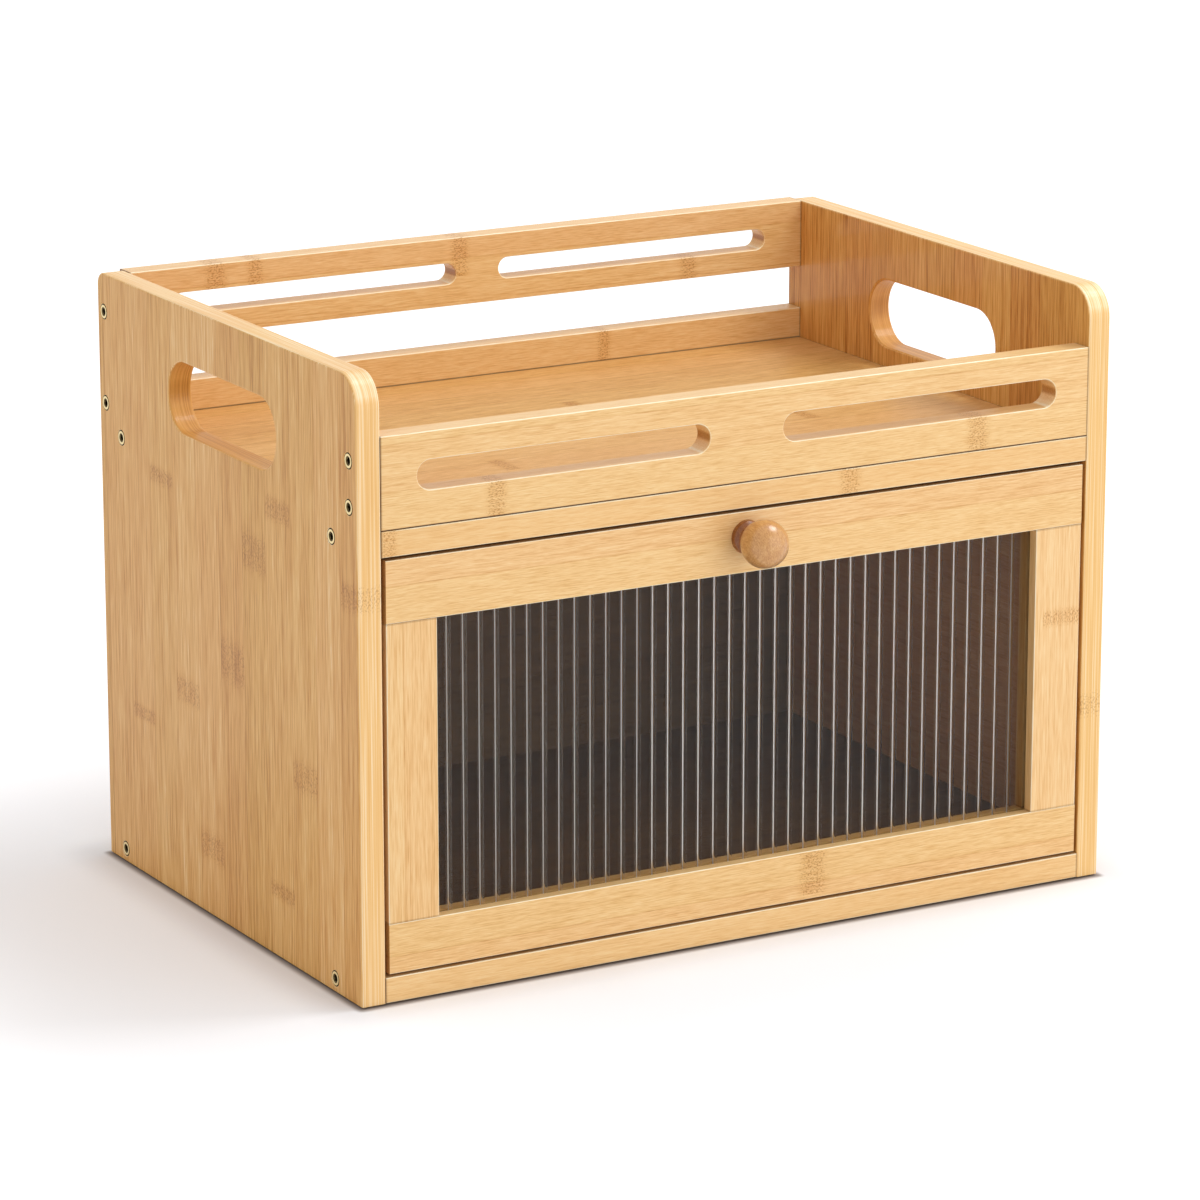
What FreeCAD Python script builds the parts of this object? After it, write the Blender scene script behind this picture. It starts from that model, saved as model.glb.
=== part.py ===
"""Bread box in laminated bamboo: an open tray on top, a drawer with a ribbed window below.

Frame: the origin is the centre of the underside, +X is to the right for someone who faces
the drawer, the drawer opens towards -Y, and +Z is up. All sizes are millimetres.
"""
import FreeCAD
import Part
import Sketcher
import math
import os

from FreeCAD import Vector

# ---------------------------------------------------------------- driving dimensions

SIZES = [
    # the case
    ("width", 400, "outside, across both side panels"),
    ("depth", 270, "outside, front edge to rear edge"),
    ("side_thickness", 12, "side panels"),
    ("board_thickness", 12, "base and shelf"),
    ("drawer_space", 195, "clear height between base and shelf"),
    ("tray_depth", 71, "tray floor to the top edge of the side panels"),
    ("front_corner_radius", 15, "side panel, front top corner"),
    ("rear_corner_radius", 6, "side panel, rear top corner"),
    ("panel_easing", 1.0, "rounding along the edges of the side panels"),
    ("board_easing", 0.6, "rounding along the edges of boards and rails"),
    ("handle_length", 113, "hand hole in each side panel"),
    ("handle_height", 34, "hand hole in each side panel"),
    ("handle_setback", 136, "front edge to the middle of the hand hole"),
    ("handle_drop", 44, "top edge to the middle of the hand hole"),
    # the gallery rails round the tray
    ("rail_thickness", 12, "all three rails"),
    ("front_rail_height", 43, ""),
    ("front_slot_height", 13.7, ""),
    ("front_slot_rise", 23.2, "rail underside to the middle of the slots"),
    ("front_slot_end", 18.2, "wood between a slot and the side panel"),
    ("front_slot_bar", 39, "wood between the two slots"),
    ("upper_rail_height", 34, ""),
    ("upper_slot_height", 10.4, ""),
    ("upper_slot_rise", 16.3, "rail underside to the middle of the slots"),
    ("upper_slot_end", 22, "wood between a slot and the side panel"),
    ("upper_slot_bar", 24, "wood between the two slots"),
    ("lower_rail_height", 15.5, ""),
    # the case's back panel, held in grooves
    ("back_thickness", 4, ""),
    ("back_inset", 8, "rear edge of the case to the panel's rear face"),
    ("back_groove_depth", 4, ""),
    ("groove_clearance", 0.15, "each face of a thin panel to its groove"),
    # the case screws, eight in each side panel
    ("screw_head", 8, "diameter of the countersunk head"),
    ("screw_shank", 4.2, "diameter"),
    ("screw_length", 28, ""),
    ("screw_clearance", 0.1, "screw to its hole, on the radius"),
    ("socket_width", 3, "hexagon socket, across its flats"),
    ("socket_depth", 2, ""),
    ("front_rail_screw_inset", 8, "front edge to the front rail's screws"),
    ("front_rail_screw_margin", 11, "rail edge to the nearer screw"),
    ("back_screw_inset", 6.5, "rear edge to the back rails' screws"),
    ("upper_screw_drop", 18.6, "top edge to the upper rail's screw"),
    ("shelf_screw_front_inset", 25.5, ""),
    ("shelf_screw_rear_inset", 23.5, ""),
    ("base_screw_front_inset", 27, ""),
    ("base_screw_rear_inset", 18, ""),
    ("dowel_diameter", 6, "wooden dowels in the rails and the window frame"),
    ("dowel_clearance", 0.1, "dowel to its hole, on the radius and at each end"),
    ("rail_dowel_length", 22, "one dowel in each end of the upper rail"),
    ("rail_dowel_in_side", 8, "the part of it in the side panel"),
    ("rail_dowel_drop", 7.5, "top edge to that dowel"),
    # the drawer in its space
    ("drawer_side_gap", 2, "drawer to side panel"),
    ("drawer_front_gap", 1.5, "above and below the drawer front"),
    ("drawer_glide_gap", 0.3, "base to the drawer's sides"),
    ("drawer_stop_gap", 0.5, "drawer to back panel when shut"),
    ("front_thickness", 15, "drawer front"),
    ("top_rail_height", 29, "window frame"),
    ("bottom_rail_height", 23.5, "window frame"),
    ("stile_width", 25.5, "window frame"),
    ("frame_easing", 0.5, "rounding along the window frame's edges"),
    ("frame_dowel_length", 30, "half in a rail and half in a stile"),
    ("frame_dowel_margin", 5, "outer edge of a stile to the nearer dowel"),
    ("frame_dowel_spacing", 9.5, "the two dowels of a joint"),
    # the ribbed window
    ("pane_thickness", 2.5, "without its ribs"),
    ("pane_setback", 6.5, "drawer face to the pane's flat face"),
    ("pane_groove_depth", 6, ""),
    ("pane_clearance", 0.1, "pane to the walls and floor of its groove"),
    ("rib_width", 2.4, ""),
    ("rib_height", 1.0, ""),
    ("rib_pitch", 8.2, ""),
    ("rib_margin", 8, "least distance from the window's edge to a rib"),
    # the drawer box
    ("box_side_thickness", 9, "drawer sides and back"),
    ("box_height", 163.5, "drawer sides and back"),
    ("box_easing", 1.0, "rounding along the upper edges of the drawer box"),
    ("bottom_thickness", 4, "drawer bottom"),
    ("bottom_rise", 7, "underside of the drawer's sides to the drawer bottom"),
    ("bottom_groove_depth", 4, ""),
    ("box_dowel_diameter", 5, "dowels from the stiles into the drawer sides"),
    ("box_dowel_length", 20, ""),
    ("box_dowel_in_front", 8, "the part of each dowel in the stile"),
    ("box_dowel_spacing", 40, ""),
    ("box_dowel_rise", 48, "underside of the drawer's sides to the lowest dowel"),
    ("box_screw_head", 7, "screws from the drawer sides into its back"),
    ("box_screw_shank", 3.5, ""),
    ("box_screw_length", 30, ""),
    ("box_screw_spacing", 50, ""),
    ("box_screw_rise", 30, "underside of the drawer's sides to the lowest screw"),
    # the knob
    ("knob_diameter", 22.5, "its ball"),
    ("knob_reach", 16, "drawer face to the middle of the ball"),
    ("knob_flange", 16, "diameter of the foot that seats on the drawer"),
    ("knob_flange_thickness", 2.4, ""),
    ("knob_neck", 9.2, "diameter where the neck meets the ball"),
    ("knob_lift", 2.5, "middle of the top rail to the knob's axis"),
    ("knob_screw_head", 8, ""),
    ("knob_screw_head_height", 2.4, ""),
    ("knob_screw_shank", 4, ""),
    ("knob_screw_grip", 10, "the part of the screw in the knob"),
]

SCREWS_IN_BOX_SIDE = 3
DOWELS_IN_BOX_SIDE = 3

doc = FreeCAD.newDocument("bread_box")
sheet = doc.addObject("Spreadsheet::Sheet", "Dims")
for row, (alias, size, note) in enumerate(SIZES, start=1):
    sheet.set(f"A{row}", alias)
    sheet.set(f"B{row}", str(size))
    sheet.set(f"C{row}", note)
    sheet.setAlias(f"B{row}", alias)
doc.recompute()

# ---------------------------------------------------------------- places, as expressions

HALF_INSIDE = "(Dims.width / 2 - Dims.side_thickness)"
HALF_DEPTH = "(Dims.depth / 2)"
SHELF_UNDERSIDE = "(Dims.board_thickness + Dims.drawer_space)"
SHELF_TOP = "(Dims.drawer_space + 2 * Dims.board_thickness)"
HEIGHT = f"({SHELF_TOP} + Dims.tray_depth)"

BACK_GROOVE_WIDTH = "(Dims.back_thickness + 2 * Dims.groove_clearance)"
BACK_FRONT_FACE = f"({HALF_DEPTH} - Dims.back_inset - Dims.back_thickness)"
BACK_GROOVE_START = f"({BACK_FRONT_FACE} - Dims.groove_clearance)"

HALF_DRAWER = f"({HALF_INSIDE} - Dims.drawer_side_gap)"
FRONT_UNDERSIDE = "(Dims.board_thickness + Dims.drawer_front_gap)"
FRONT_HEIGHT = "(Dims.drawer_space - 2 * Dims.drawer_front_gap)"
FRONT_FACE = f"(-{HALF_DEPTH})"
FRONT_REAR_FACE = f"({FRONT_FACE} + Dims.front_thickness)"
STILE_HEIGHT = f"({FRONT_HEIGHT} - Dims.top_rail_height - Dims.bottom_rail_height)"
HALF_WINDOW = f"({HALF_DRAWER} - Dims.stile_width)"

BOX_UNDERSIDE = "(Dims.board_thickness + Dims.drawer_glide_gap)"
BOX_REAR = f"({BACK_FRONT_FACE} - Dims.drawer_stop_gap)"
BOX_LENGTH = f"({BOX_REAR} - {FRONT_REAR_FACE})"
BOX_HALF_INSIDE = f"({HALF_DRAWER} - Dims.box_side_thickness)"
BOTTOM_GROOVE_WIDTH = "(Dims.bottom_thickness + 2 * Dims.groove_clearance)"
BOTTOM_REACH = "(Dims.bottom_groove_depth - Dims.groove_clearance)"

PANE_GROOVE_START = "(Dims.pane_setback - Dims.rib_height - Dims.pane_clearance)"
PANE_GROOVE_WIDTH = "(Dims.pane_thickness + Dims.rib_height + 2 * Dims.pane_clearance)"
PANE_HALF_WIDTH = f"({HALF_WINDOW} + Dims.pane_groove_depth - Dims.pane_clearance)"
PANE_HEIGHT = f"({STILE_HEIGHT} + 2 * Dims.pane_groove_depth - 2 * Dims.pane_clearance)"
RIB_COUNT = f"(floor(2 * ({HALF_WINDOW} - Dims.rib_margin) / Dims.rib_pitch) + 1)"

SCREW_HOLE = "(Dims.screw_shank / 2 + Dims.screw_clearance)"
DOWEL_HOLE = "(Dims.dowel_diameter / 2 + Dims.dowel_clearance)"
BOX_DOWEL_HOLE = "(Dims.box_dowel_diameter / 2 + Dims.dowel_clearance)"
BOX_SCREW_HOLE = "(Dims.box_screw_shank / 2 + Dims.screw_clearance)"

FRONT_SCREW_HEIGHTS = [
    "Dims.front_rail_screw_margin",
    "(Dims.front_rail_height - Dims.front_rail_screw_margin)",
]
FRAME_DOWELS = [
    "Dims.frame_dowel_margin",
    "(Dims.frame_dowel_margin + Dims.frame_dowel_spacing)",
]
BOX_DOWELS = [f"(Dims.box_dowel_rise + {n} * Dims.box_dowel_spacing)" for n in range(DOWELS_IN_BOX_SIDE)]
BOX_SCREWS = [f"(Dims.box_screw_rise + {n} * Dims.box_screw_spacing)" for n in range(SCREWS_IN_BOX_SIDE)]

# The case screws as (distance from the case's middle along Y, height), which the holes in the
# side panels, the boards and the rails all share.
CASE_SCREWS = {
    "base_panel": [
        (f"({FRONT_FACE} + Dims.base_screw_front_inset)", "(Dims.board_thickness / 2)"),
        (f"({HALF_DEPTH} - Dims.base_screw_rear_inset)", "(Dims.board_thickness / 2)"),
    ],
    "shelf_panel": [
        (f"({FRONT_FACE} + Dims.shelf_screw_front_inset)", f"({SHELF_TOP} - Dims.board_thickness / 2)"),
        (f"({HALF_DEPTH} - Dims.shelf_screw_rear_inset)", f"({SHELF_TOP} - Dims.board_thickness / 2)"),
    ],
    "front_gallery_rail": [
        (f"({FRONT_FACE} + Dims.front_rail_screw_inset)", f"({SHELF_TOP} + {rise})")
        for rise in FRONT_SCREW_HEIGHTS
    ],
    "upper_back_rail": [
        (f"({HALF_DEPTH} - Dims.back_screw_inset)", f"({HEIGHT} - Dims.upper_screw_drop)"),
    ],
    "lower_back_rail": [
        (f"({HALF_DEPTH} - Dims.back_screw_inset)", f"({SHELF_TOP} + Dims.lower_rail_height / 2)"),
    ],
}
ALL_CASE_SCREWS = [place for places in CASE_SCREWS.values() for place in places]
RAIL_DOWEL = (f"({HALF_DEPTH} - Dims.rail_thickness / 2)", f"({HEIGHT} - Dims.rail_dowel_drop)")

# ---------------------------------------------------------------- helpers


def value(expression):
    """The number that an expression over the sheet gives."""
    return float(sheet.evalExpression(str(expression)))


def new_body(label, x="0", y="0", z="0"):
    """A body named for its sub-part, with its origin bound to a place in the part's frame."""
    body = doc.addObject("PartDesign::Body", label)
    body.Label = label
    for axis, expression in zip("xyz", (x, y, z)):
        body.setExpression(f"Placement.Base.{axis}", expression)
    return body


def origin_plane(body, role):
    return next(item for item in body.Origin.OriginFeatures if item.Role == role)


def new_sketch(body, name, role, offset="0"):
    """A sketch on one of the body's own origin planes, moved along the plane's normal."""
    sketch = body.newObject("Sketcher::SketchObject", f"{body.Name}_{name}")
    sketch.AttachmentSupport = [(origin_plane(body, role), "")]
    sketch.MapMode = "FlatFace"
    sketch.setExpression("AttachmentOffset.Base.z", offset)
    return sketch


def pin(sketch, element, point, x, y):
    """Holds a sketch point at signed distances from the sketch's origin."""
    for kind, expression in (("DistanceX", x), ("DistanceY", y)):
        constraint = Sketcher.Constraint(kind, -1, 1, element, point, value(expression))
        index = sketch.addConstraint(constraint)
        sketch.setExpression(f"Constraints[{index}]", expression)


def bind_radius(sketch, element, expression):
    index = sketch.addConstraint(Sketcher.Constraint("Radius", element, value(expression)))
    sketch.setExpression(f"Constraints[{index}]", expression)


def add_rectangle(sketch, left, right, bottom, top):
    """A rectangle between four signed positions."""
    low = Vector(value(left), value(bottom), 0)
    high = Vector(value(right), value(top), 0)
    corners = [low, Vector(high.x, low.y, 0), high, Vector(low.x, high.y, 0)]
    sides = [Part.LineSegment(corners[n], corners[(n + 1) % 4]) for n in range(4)]
    first = sketch.addGeometry(sides, False)[0]
    for n in range(4):
        sketch.addConstraint(Sketcher.Constraint("Coincident", first + n, 2, first + (n + 1) % 4, 1))
    for n in (0, 2):
        sketch.addConstraint(Sketcher.Constraint("Horizontal", first + n))
    for n in (1, 3):
        sketch.addConstraint(Sketcher.Constraint("Vertical", first + n))
    pin(sketch, first, 1, left, bottom)
    pin(sketch, first + 2, 1, right, top)


def add_circle(sketch, x, y, radius):
    circle = Part.Circle(Vector(value(x), value(y), 0), Vector(0, 0, 1), value(radius))
    index = sketch.addGeometry(circle, False)
    pin(sketch, index, 3, x, y)
    bind_radius(sketch, index, radius)


def add_slot(sketch, left, right, middle, height):
    """A slot with round ends, between two signed positions."""
    radius = value(height) / 2
    centre_left = Vector(value(left) + radius, value(middle), 0)
    centre_right = Vector(value(right) - radius, value(middle), 0)
    up = Vector(0, radius, 0)
    quarter = math.pi / 2
    normal = Vector(0, 0, 1)
    shapes = [
        Part.LineSegment(centre_left - up, centre_right - up),
        Part.ArcOfCircle(Part.Circle(centre_right, normal, radius), -quarter, quarter),
        Part.LineSegment(centre_right + up, centre_left + up),
        Part.ArcOfCircle(Part.Circle(centre_left, normal, radius), quarter, 3 * quarter),
    ]
    first = sketch.addGeometry(shapes, False)[0]
    for n in range(4):
        sketch.addConstraint(Sketcher.Constraint("Tangent", first + n, 2, first + (n + 1) % 4, 1))
    pin(sketch, first + 1, 3, f"({right}) - ({height}) / 2", middle)
    pin(sketch, first + 3, 3, f"({left}) + ({height}) / 2", middle)
    bind_radius(sketch, first + 1, f"({height}) / 2")


def pad(body, sketch, length, along_normal=True):
    feature = body.newObject("PartDesign::Pad", f"{sketch.Name}_pad")
    feature.Profile = sketch
    feature.Reversed = not along_normal
    feature.setExpression("Length", length)
    doc.recompute()
    return feature


def pocket(body, sketch, length, along_normal=False):
    """Cuts the sketch into the solid, and makes sure that the cut took wood away."""
    before = body.Shape.Volume
    feature = body.newObject("PartDesign::Pocket", f"{sketch.Name}_pocket")
    feature.Profile = sketch
    feature.Reversed = along_normal
    feature.setExpression("Length", length)
    doc.recompute()
    if not feature.Shape.Volume < before:
        raise RuntimeError(f"{feature.Name} cuts nothing")
    return feature


def mirror(body, features, role):
    """Repeats features on the other side of an origin plane."""
    feature = body.newObject("PartDesign::Mirrored", f"{features[0].Name}_mirror")
    feature.Originals = features
    feature.MirrorPlane = (origin_plane(body, role), [""])
    body.Tip = feature
    doc.recompute()
    return feature


def edges_where(shape, test):
    """The names of the edges whose bounding box passes a test."""
    return [f"Edge{n}" for n, edge in enumerate(shape.Edges, start=1) if test(edge.BoundBox)]


def near(first, second):
    return abs(first - second) < 1e-4


def ease(body, radius, test):
    """Rounds the edges that pass a test."""
    base = body.Tip
    feature = body.newObject("PartDesign::Fillet", f"{base.Name}_eased")
    feature.Base = (base, edges_where(base.Shape, test))
    feature.setExpression("Radius", radius)
    doc.recompute()
    return feature


def countersunk_holes(body, sketch, radius, head, depth, along_normal):
    """Through holes at a sketch's circles, each opened to a cone of 90 degrees for a screw's head."""
    doc.recompute()
    before = body.Shape.Volume
    hole = body.newObject("PartDesign::Hole", f"{sketch.Name}_countersunk")
    hole.Profile = sketch
    doc.recompute()
    hole.Reversed = along_normal
    hole.DepthType = "Dimension"
    hole.HoleCutType = "Countersink"
    hole.HoleCutCustomValues = True
    hole.setExpression("Diameter", f"2 * {radius}")
    hole.setExpression("Depth", depth)
    hole.setExpression("HoleCutDiameter", f"{head} + 2 * Dims.screw_clearance")
    hole.HoleCutCountersinkAngle = 90
    hole.DrillPoint = "Flat"
    doc.recompute()
    if not hole.Shape.Volume < before:
        raise RuntimeError(f"{hole.Name} cuts nothing")


def along_x_in_y(*places):
    """A test for edges that run along X at one of some Y positions."""
    wanted = [value(place) for place in places]

    def test(box):
        return box.XLength > 1 and near(box.YLength, 0) and any(near(box.YMin, y) for y in wanted)
    return test


# ---------------------------------------------------------------- side panels


def side_panel(label, outward):
    """A side panel, whose own origin is on its outer face; outward is -1 on the left, +1 on the right."""
    inward = outward < 0
    body = new_body(label, x=f"{outward} * Dims.width / 2")

    outline = new_sketch(body, "outline", "YZ_Plane")
    add_rectangle(outline, FRONT_FACE, HALF_DEPTH, "0", HEIGHT)
    pad(body, outline, "Dims.side_thickness", along_normal=inward)

    top = value(HEIGHT)
    front = value(FRONT_FACE)
    ease(body, "Dims.front_corner_radius", lambda box: near(box.ZMin, top) and near(box.YMax, front))
    ease(body, "Dims.rear_corner_radius",
         lambda box: near(box.ZMin, top) and near(box.YMin, -front) and near(box.YLength, 0))

    handle = new_sketch(body, "hand_hole", "YZ_Plane")
    middle = f"({FRONT_FACE} + Dims.handle_setback)"
    add_slot(handle, f"{middle} - Dims.handle_length / 2", f"{middle} + Dims.handle_length / 2",
             f"{HEIGHT} - Dims.handle_drop", "Dims.handle_height")
    pocket(body, handle, "Dims.side_thickness", along_normal=inward)
    ease(body, "Dims.panel_easing", lambda box: near(box.XLength, 0) and box.ZMax > 1)

    inner_face = f"{-outward} * Dims.side_thickness"
    groove = new_sketch(body, "back_groove", "YZ_Plane", inner_face)
    add_rectangle(groove, BACK_GROOVE_START, f"{BACK_GROOVE_START} + {BACK_GROOVE_WIDTH}",
                  "Dims.board_thickness - Dims.back_groove_depth",
                  f"{SHELF_UNDERSIDE} + Dims.back_groove_depth")
    pocket(body, groove, "Dims.back_groove_depth", along_normal=not inward)

    dowel = new_sketch(body, "rail_dowel", "YZ_Plane", inner_face)
    add_circle(dowel, *RAIL_DOWEL, DOWEL_HOLE)
    pocket(body, dowel, "Dims.rail_dowel_in_side + Dims.dowel_clearance", along_normal=not inward)

    holes = new_sketch(body, "screw_holes", "YZ_Plane")
    for y, z in ALL_CASE_SCREWS:
        add_circle(holes, y, z, SCREW_HOLE)
    countersunk_holes(body, holes, SCREW_HOLE, "Dims.screw_head", "Dims.side_thickness", inward)
    return body


side_panel("left_side_panel", -1)
side_panel("right_side_panel", +1)

# ---------------------------------------------------------------- base, shelf and rails


def end_holes(body, name, places, radius, depth, dy="0", dz="0"):
    """Blind holes into both ends of a board, at places given in the part's frame."""
    sketch = new_sketch(body, name, "YZ_Plane", f"-{HALF_INSIDE}")
    for y, z in places:
        add_circle(sketch, f"{y} - ({dy})", f"{z} - ({dz})", radius)
    holes = pocket(body, sketch, depth, along_normal=True)
    mirror(body, [holes], "YZ_Plane")


def case_board(label, underside, groove_from, groove_along_normal):
    """A board that spans the case, with a groove for the back panel and screw holes in its ends."""
    body = new_body(label, z=underside)
    outline = new_sketch(body, "outline", "XY_Plane")
    add_rectangle(outline, f"-{HALF_INSIDE}", HALF_INSIDE, FRONT_FACE, HALF_DEPTH)
    pad(body, outline, "Dims.board_thickness")
    ease(body, "Dims.board_easing", along_x_in_y(FRONT_FACE, HALF_DEPTH))

    groove = new_sketch(body, "back_groove", "XY_Plane", groove_from)
    add_rectangle(groove, f"-{HALF_INSIDE}", HALF_INSIDE,
                  BACK_GROOVE_START, f"{BACK_GROOVE_START} + {BACK_GROOVE_WIDTH}")
    pocket(body, groove, "Dims.back_groove_depth", along_normal=groove_along_normal)
    end_holes(body, "screw_holes", CASE_SCREWS[label], SCREW_HOLE,
              "Dims.screw_length - Dims.side_thickness + Dims.screw_clearance", dz=underside)
    return body


case_board("base_panel", "0", "Dims.board_thickness", False)
case_board("shelf_panel", SHELF_UNDERSIDE, "0", True)


def gallery_rail(label, front, underside, height, slot=None):
    """A rail on edge across the tray; slot gives its slots' height, rise, end and bar."""
    body = new_body(label, y=front, z=underside)
    outline = new_sketch(body, "outline", "XZ_Plane")
    add_rectangle(outline, f"-{HALF_INSIDE}", HALF_INSIDE, "0", height)
    if slot:
        slot_height, rise, end, bar = slot
        add_slot(outline, f"-{HALF_INSIDE} + {end}", f"-{bar} / 2", rise, slot_height)
        add_slot(outline, f"{bar} / 2", f"{HALF_INSIDE} - {end}", rise, slot_height)
    pad(body, outline, "Dims.rail_thickness", along_normal=False)
    ease(body, "Dims.board_easing", lambda box: near(box.YLength, 0) and box.XLength > 1)
    end_holes(body, "screw_holes", CASE_SCREWS[label], SCREW_HOLE,
              "Dims.screw_length - Dims.side_thickness + Dims.screw_clearance", dy=front, dz=underside)
    return body


BACK_RAIL_FRONT = f"({HALF_DEPTH} - Dims.rail_thickness)"
UPPER_RAIL_UNDERSIDE = f"({HEIGHT} - Dims.upper_rail_height)"

gallery_rail("front_gallery_rail", FRONT_FACE, SHELF_TOP, "Dims.front_rail_height",
             ("Dims.front_slot_height", "Dims.front_slot_rise", "Dims.front_slot_end", "Dims.front_slot_bar"))
upper_rail = gallery_rail(
    "upper_back_rail", BACK_RAIL_FRONT, UPPER_RAIL_UNDERSIDE, "Dims.upper_rail_height",
    ("Dims.upper_slot_height", "Dims.upper_slot_rise", "Dims.upper_slot_end", "Dims.upper_slot_bar"))
end_holes(upper_rail, "dowel_holes", [RAIL_DOWEL], DOWEL_HOLE,
          "Dims.rail_dowel_length - Dims.rail_dowel_in_side + Dims.dowel_clearance",
          dy=BACK_RAIL_FRONT, dz=UPPER_RAIL_UNDERSIDE)
gallery_rail("lower_back_rail", BACK_RAIL_FRONT, SHELF_TOP, "Dims.lower_rail_height")


def thin_panel(label, sizes, corner):
    """A flat panel that slides into grooves."""
    panel = doc.addObject("Part::Box", label)
    panel.Label = label
    for name, expression in zip(("Length", "Width", "Height"), sizes):
        panel.setExpression(name, expression)
    for axis, expression in zip("xyz", corner):
        panel.setExpression(f"Placement.Base.{axis}", expression)
    return panel


BACK_REACH = "(Dims.back_groove_depth - Dims.groove_clearance)"
thin_panel("back_panel",
           (f"2 * ({HALF_INSIDE} + {BACK_REACH})", "Dims.back_thickness",
            f"Dims.drawer_space + 2 * {BACK_REACH}"),
           (f"-({HALF_INSIDE} + {BACK_REACH})", BACK_FRONT_FACE, f"Dims.board_thickness - {BACK_REACH}"))

# ---------------------------------------------------------------- the drawer's window frame


def frame_rail(label, underside, height, groove_edge):
    """A rail of the window frame; groove_edge is its inner edge, 0 or its height."""
    body = new_body(label, y=FRONT_FACE, z=underside)
    outline = new_sketch(body, "outline", "XZ_Plane")
    add_rectangle(outline, f"-{HALF_DRAWER}", HALF_DRAWER, "0", height)
    pad(body, outline, "Dims.front_thickness", along_normal=False)
    ease(body, "Dims.frame_easing", along_x_in_y("0", "Dims.front_thickness"))

    upward = groove_edge == "0"
    groove = new_sketch(body, "pane_groove", "XY_Plane", groove_edge)
    reach = f"({HALF_WINDOW} + Dims.pane_groove_depth)"
    add_rectangle(groove, f"-{reach}", reach, PANE_GROOVE_START, f"{PANE_GROOVE_START} + {PANE_GROOVE_WIDTH}")
    pocket(body, groove, "Dims.pane_groove_depth", along_normal=upward)

    dowels = new_sketch(body, "dowel_holes", "XY_Plane", groove_edge)
    for margin in FRAME_DOWELS:
        add_circle(dowels, f"-{HALF_DRAWER} + {margin}", "Dims.front_thickness / 2", DOWEL_HOLE)
    holes = pocket(body, dowels, "Dims.frame_dowel_length / 2 + Dims.dowel_clearance", along_normal=upward)
    mirror(body, [holes], "YZ_Plane")
    return body


TOP_RAIL_UNDERSIDE = f"({FRONT_UNDERSIDE} + {FRONT_HEIGHT} - Dims.top_rail_height)"
KNOB_RISE = "(Dims.top_rail_height / 2 + Dims.knob_lift)"

top_rail = frame_rail("drawer_top_rail", TOP_RAIL_UNDERSIDE, "Dims.top_rail_height", "0")
knob_hole = new_sketch(top_rail, "knob_hole", "XZ_Plane")
add_circle(knob_hole, "0", KNOB_RISE, "Dims.knob_screw_shank / 2 + Dims.screw_clearance")
pocket(top_rail, knob_hole, "Dims.front_thickness")

bottom_rail = frame_rail("drawer_bottom_rail", FRONT_UNDERSIDE, "Dims.bottom_rail_height",
                         "Dims.bottom_rail_height")
bottom_groove = new_sketch(bottom_rail, "bottom_groove", "XZ_Plane", "-Dims.front_thickness")
groove_underside = f"({BOX_UNDERSIDE} + Dims.bottom_rise - Dims.groove_clearance - {FRONT_UNDERSIDE})"
groove_reach = f"({BOX_HALF_INSIDE} + Dims.bottom_groove_depth)"
add_rectangle(bottom_groove, f"-{groove_reach}", groove_reach,
              groove_underside, f"{groove_underside} + {BOTTOM_GROOVE_WIDTH}")
pocket(bottom_rail, bottom_groove, "Dims.bottom_groove_depth", along_normal=True)


def frame_stile(label, side):
    """A stile between the rails, whose own origin is at its outer lower edge; side is -1 or +1."""
    body = new_body(label, x=f"{side} * {HALF_DRAWER}", y=FRONT_FACE,
                    z=f"{FRONT_UNDERSIDE} + Dims.bottom_rail_height")
    inner_edge = f"{-side} * Dims.stile_width"
    outline = new_sketch(body, "outline", "XZ_Plane")
    add_rectangle(outline, *sorted(("0", inner_edge), key=value), "0", STILE_HEIGHT)
    pad(body, outline, "Dims.front_thickness", along_normal=False)
    ease(body, "Dims.frame_easing", lambda box: box.ZLength > 1)

    groove = new_sketch(body, "pane_groove", "YZ_Plane", inner_edge)
    add_rectangle(groove, PANE_GROOVE_START, f"{PANE_GROOVE_START} + {PANE_GROOVE_WIDTH}", "0", STILE_HEIGHT)
    pocket(body, groove, "Dims.pane_groove_depth", along_normal=side > 0)

    for end, along_normal in (("0", True), (STILE_HEIGHT, False)):
        dowels = new_sketch(body, f"dowel_holes_{'low' if along_normal else 'high'}", "XY_Plane", end)
        for margin in FRAME_DOWELS:
            add_circle(dowels, f"{-side} * {margin}", "Dims.front_thickness / 2", DOWEL_HOLE)
        pocket(body, dowels, "Dims.frame_dowel_length / 2 + Dims.dowel_clearance", along_normal=along_normal)

    box_dowels = new_sketch(body, "box_dowel_holes", "XZ_Plane", "-Dims.front_thickness")
    for rise in BOX_DOWELS:
        add_circle(box_dowels, f"{-side} * Dims.box_side_thickness / 2",
                   f"{BOX_UNDERSIDE} + {rise} - {FRONT_UNDERSIDE} - Dims.bottom_rail_height", BOX_DOWEL_HOLE)
    pocket(body, box_dowels, "Dims.box_dowel_in_front + Dims.dowel_clearance", along_normal=True)
    return body


frame_stile("drawer_left_stile", -1)
frame_stile("drawer_right_stile", +1)

# ---------------------------------------------------------------- the ribbed pane


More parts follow.
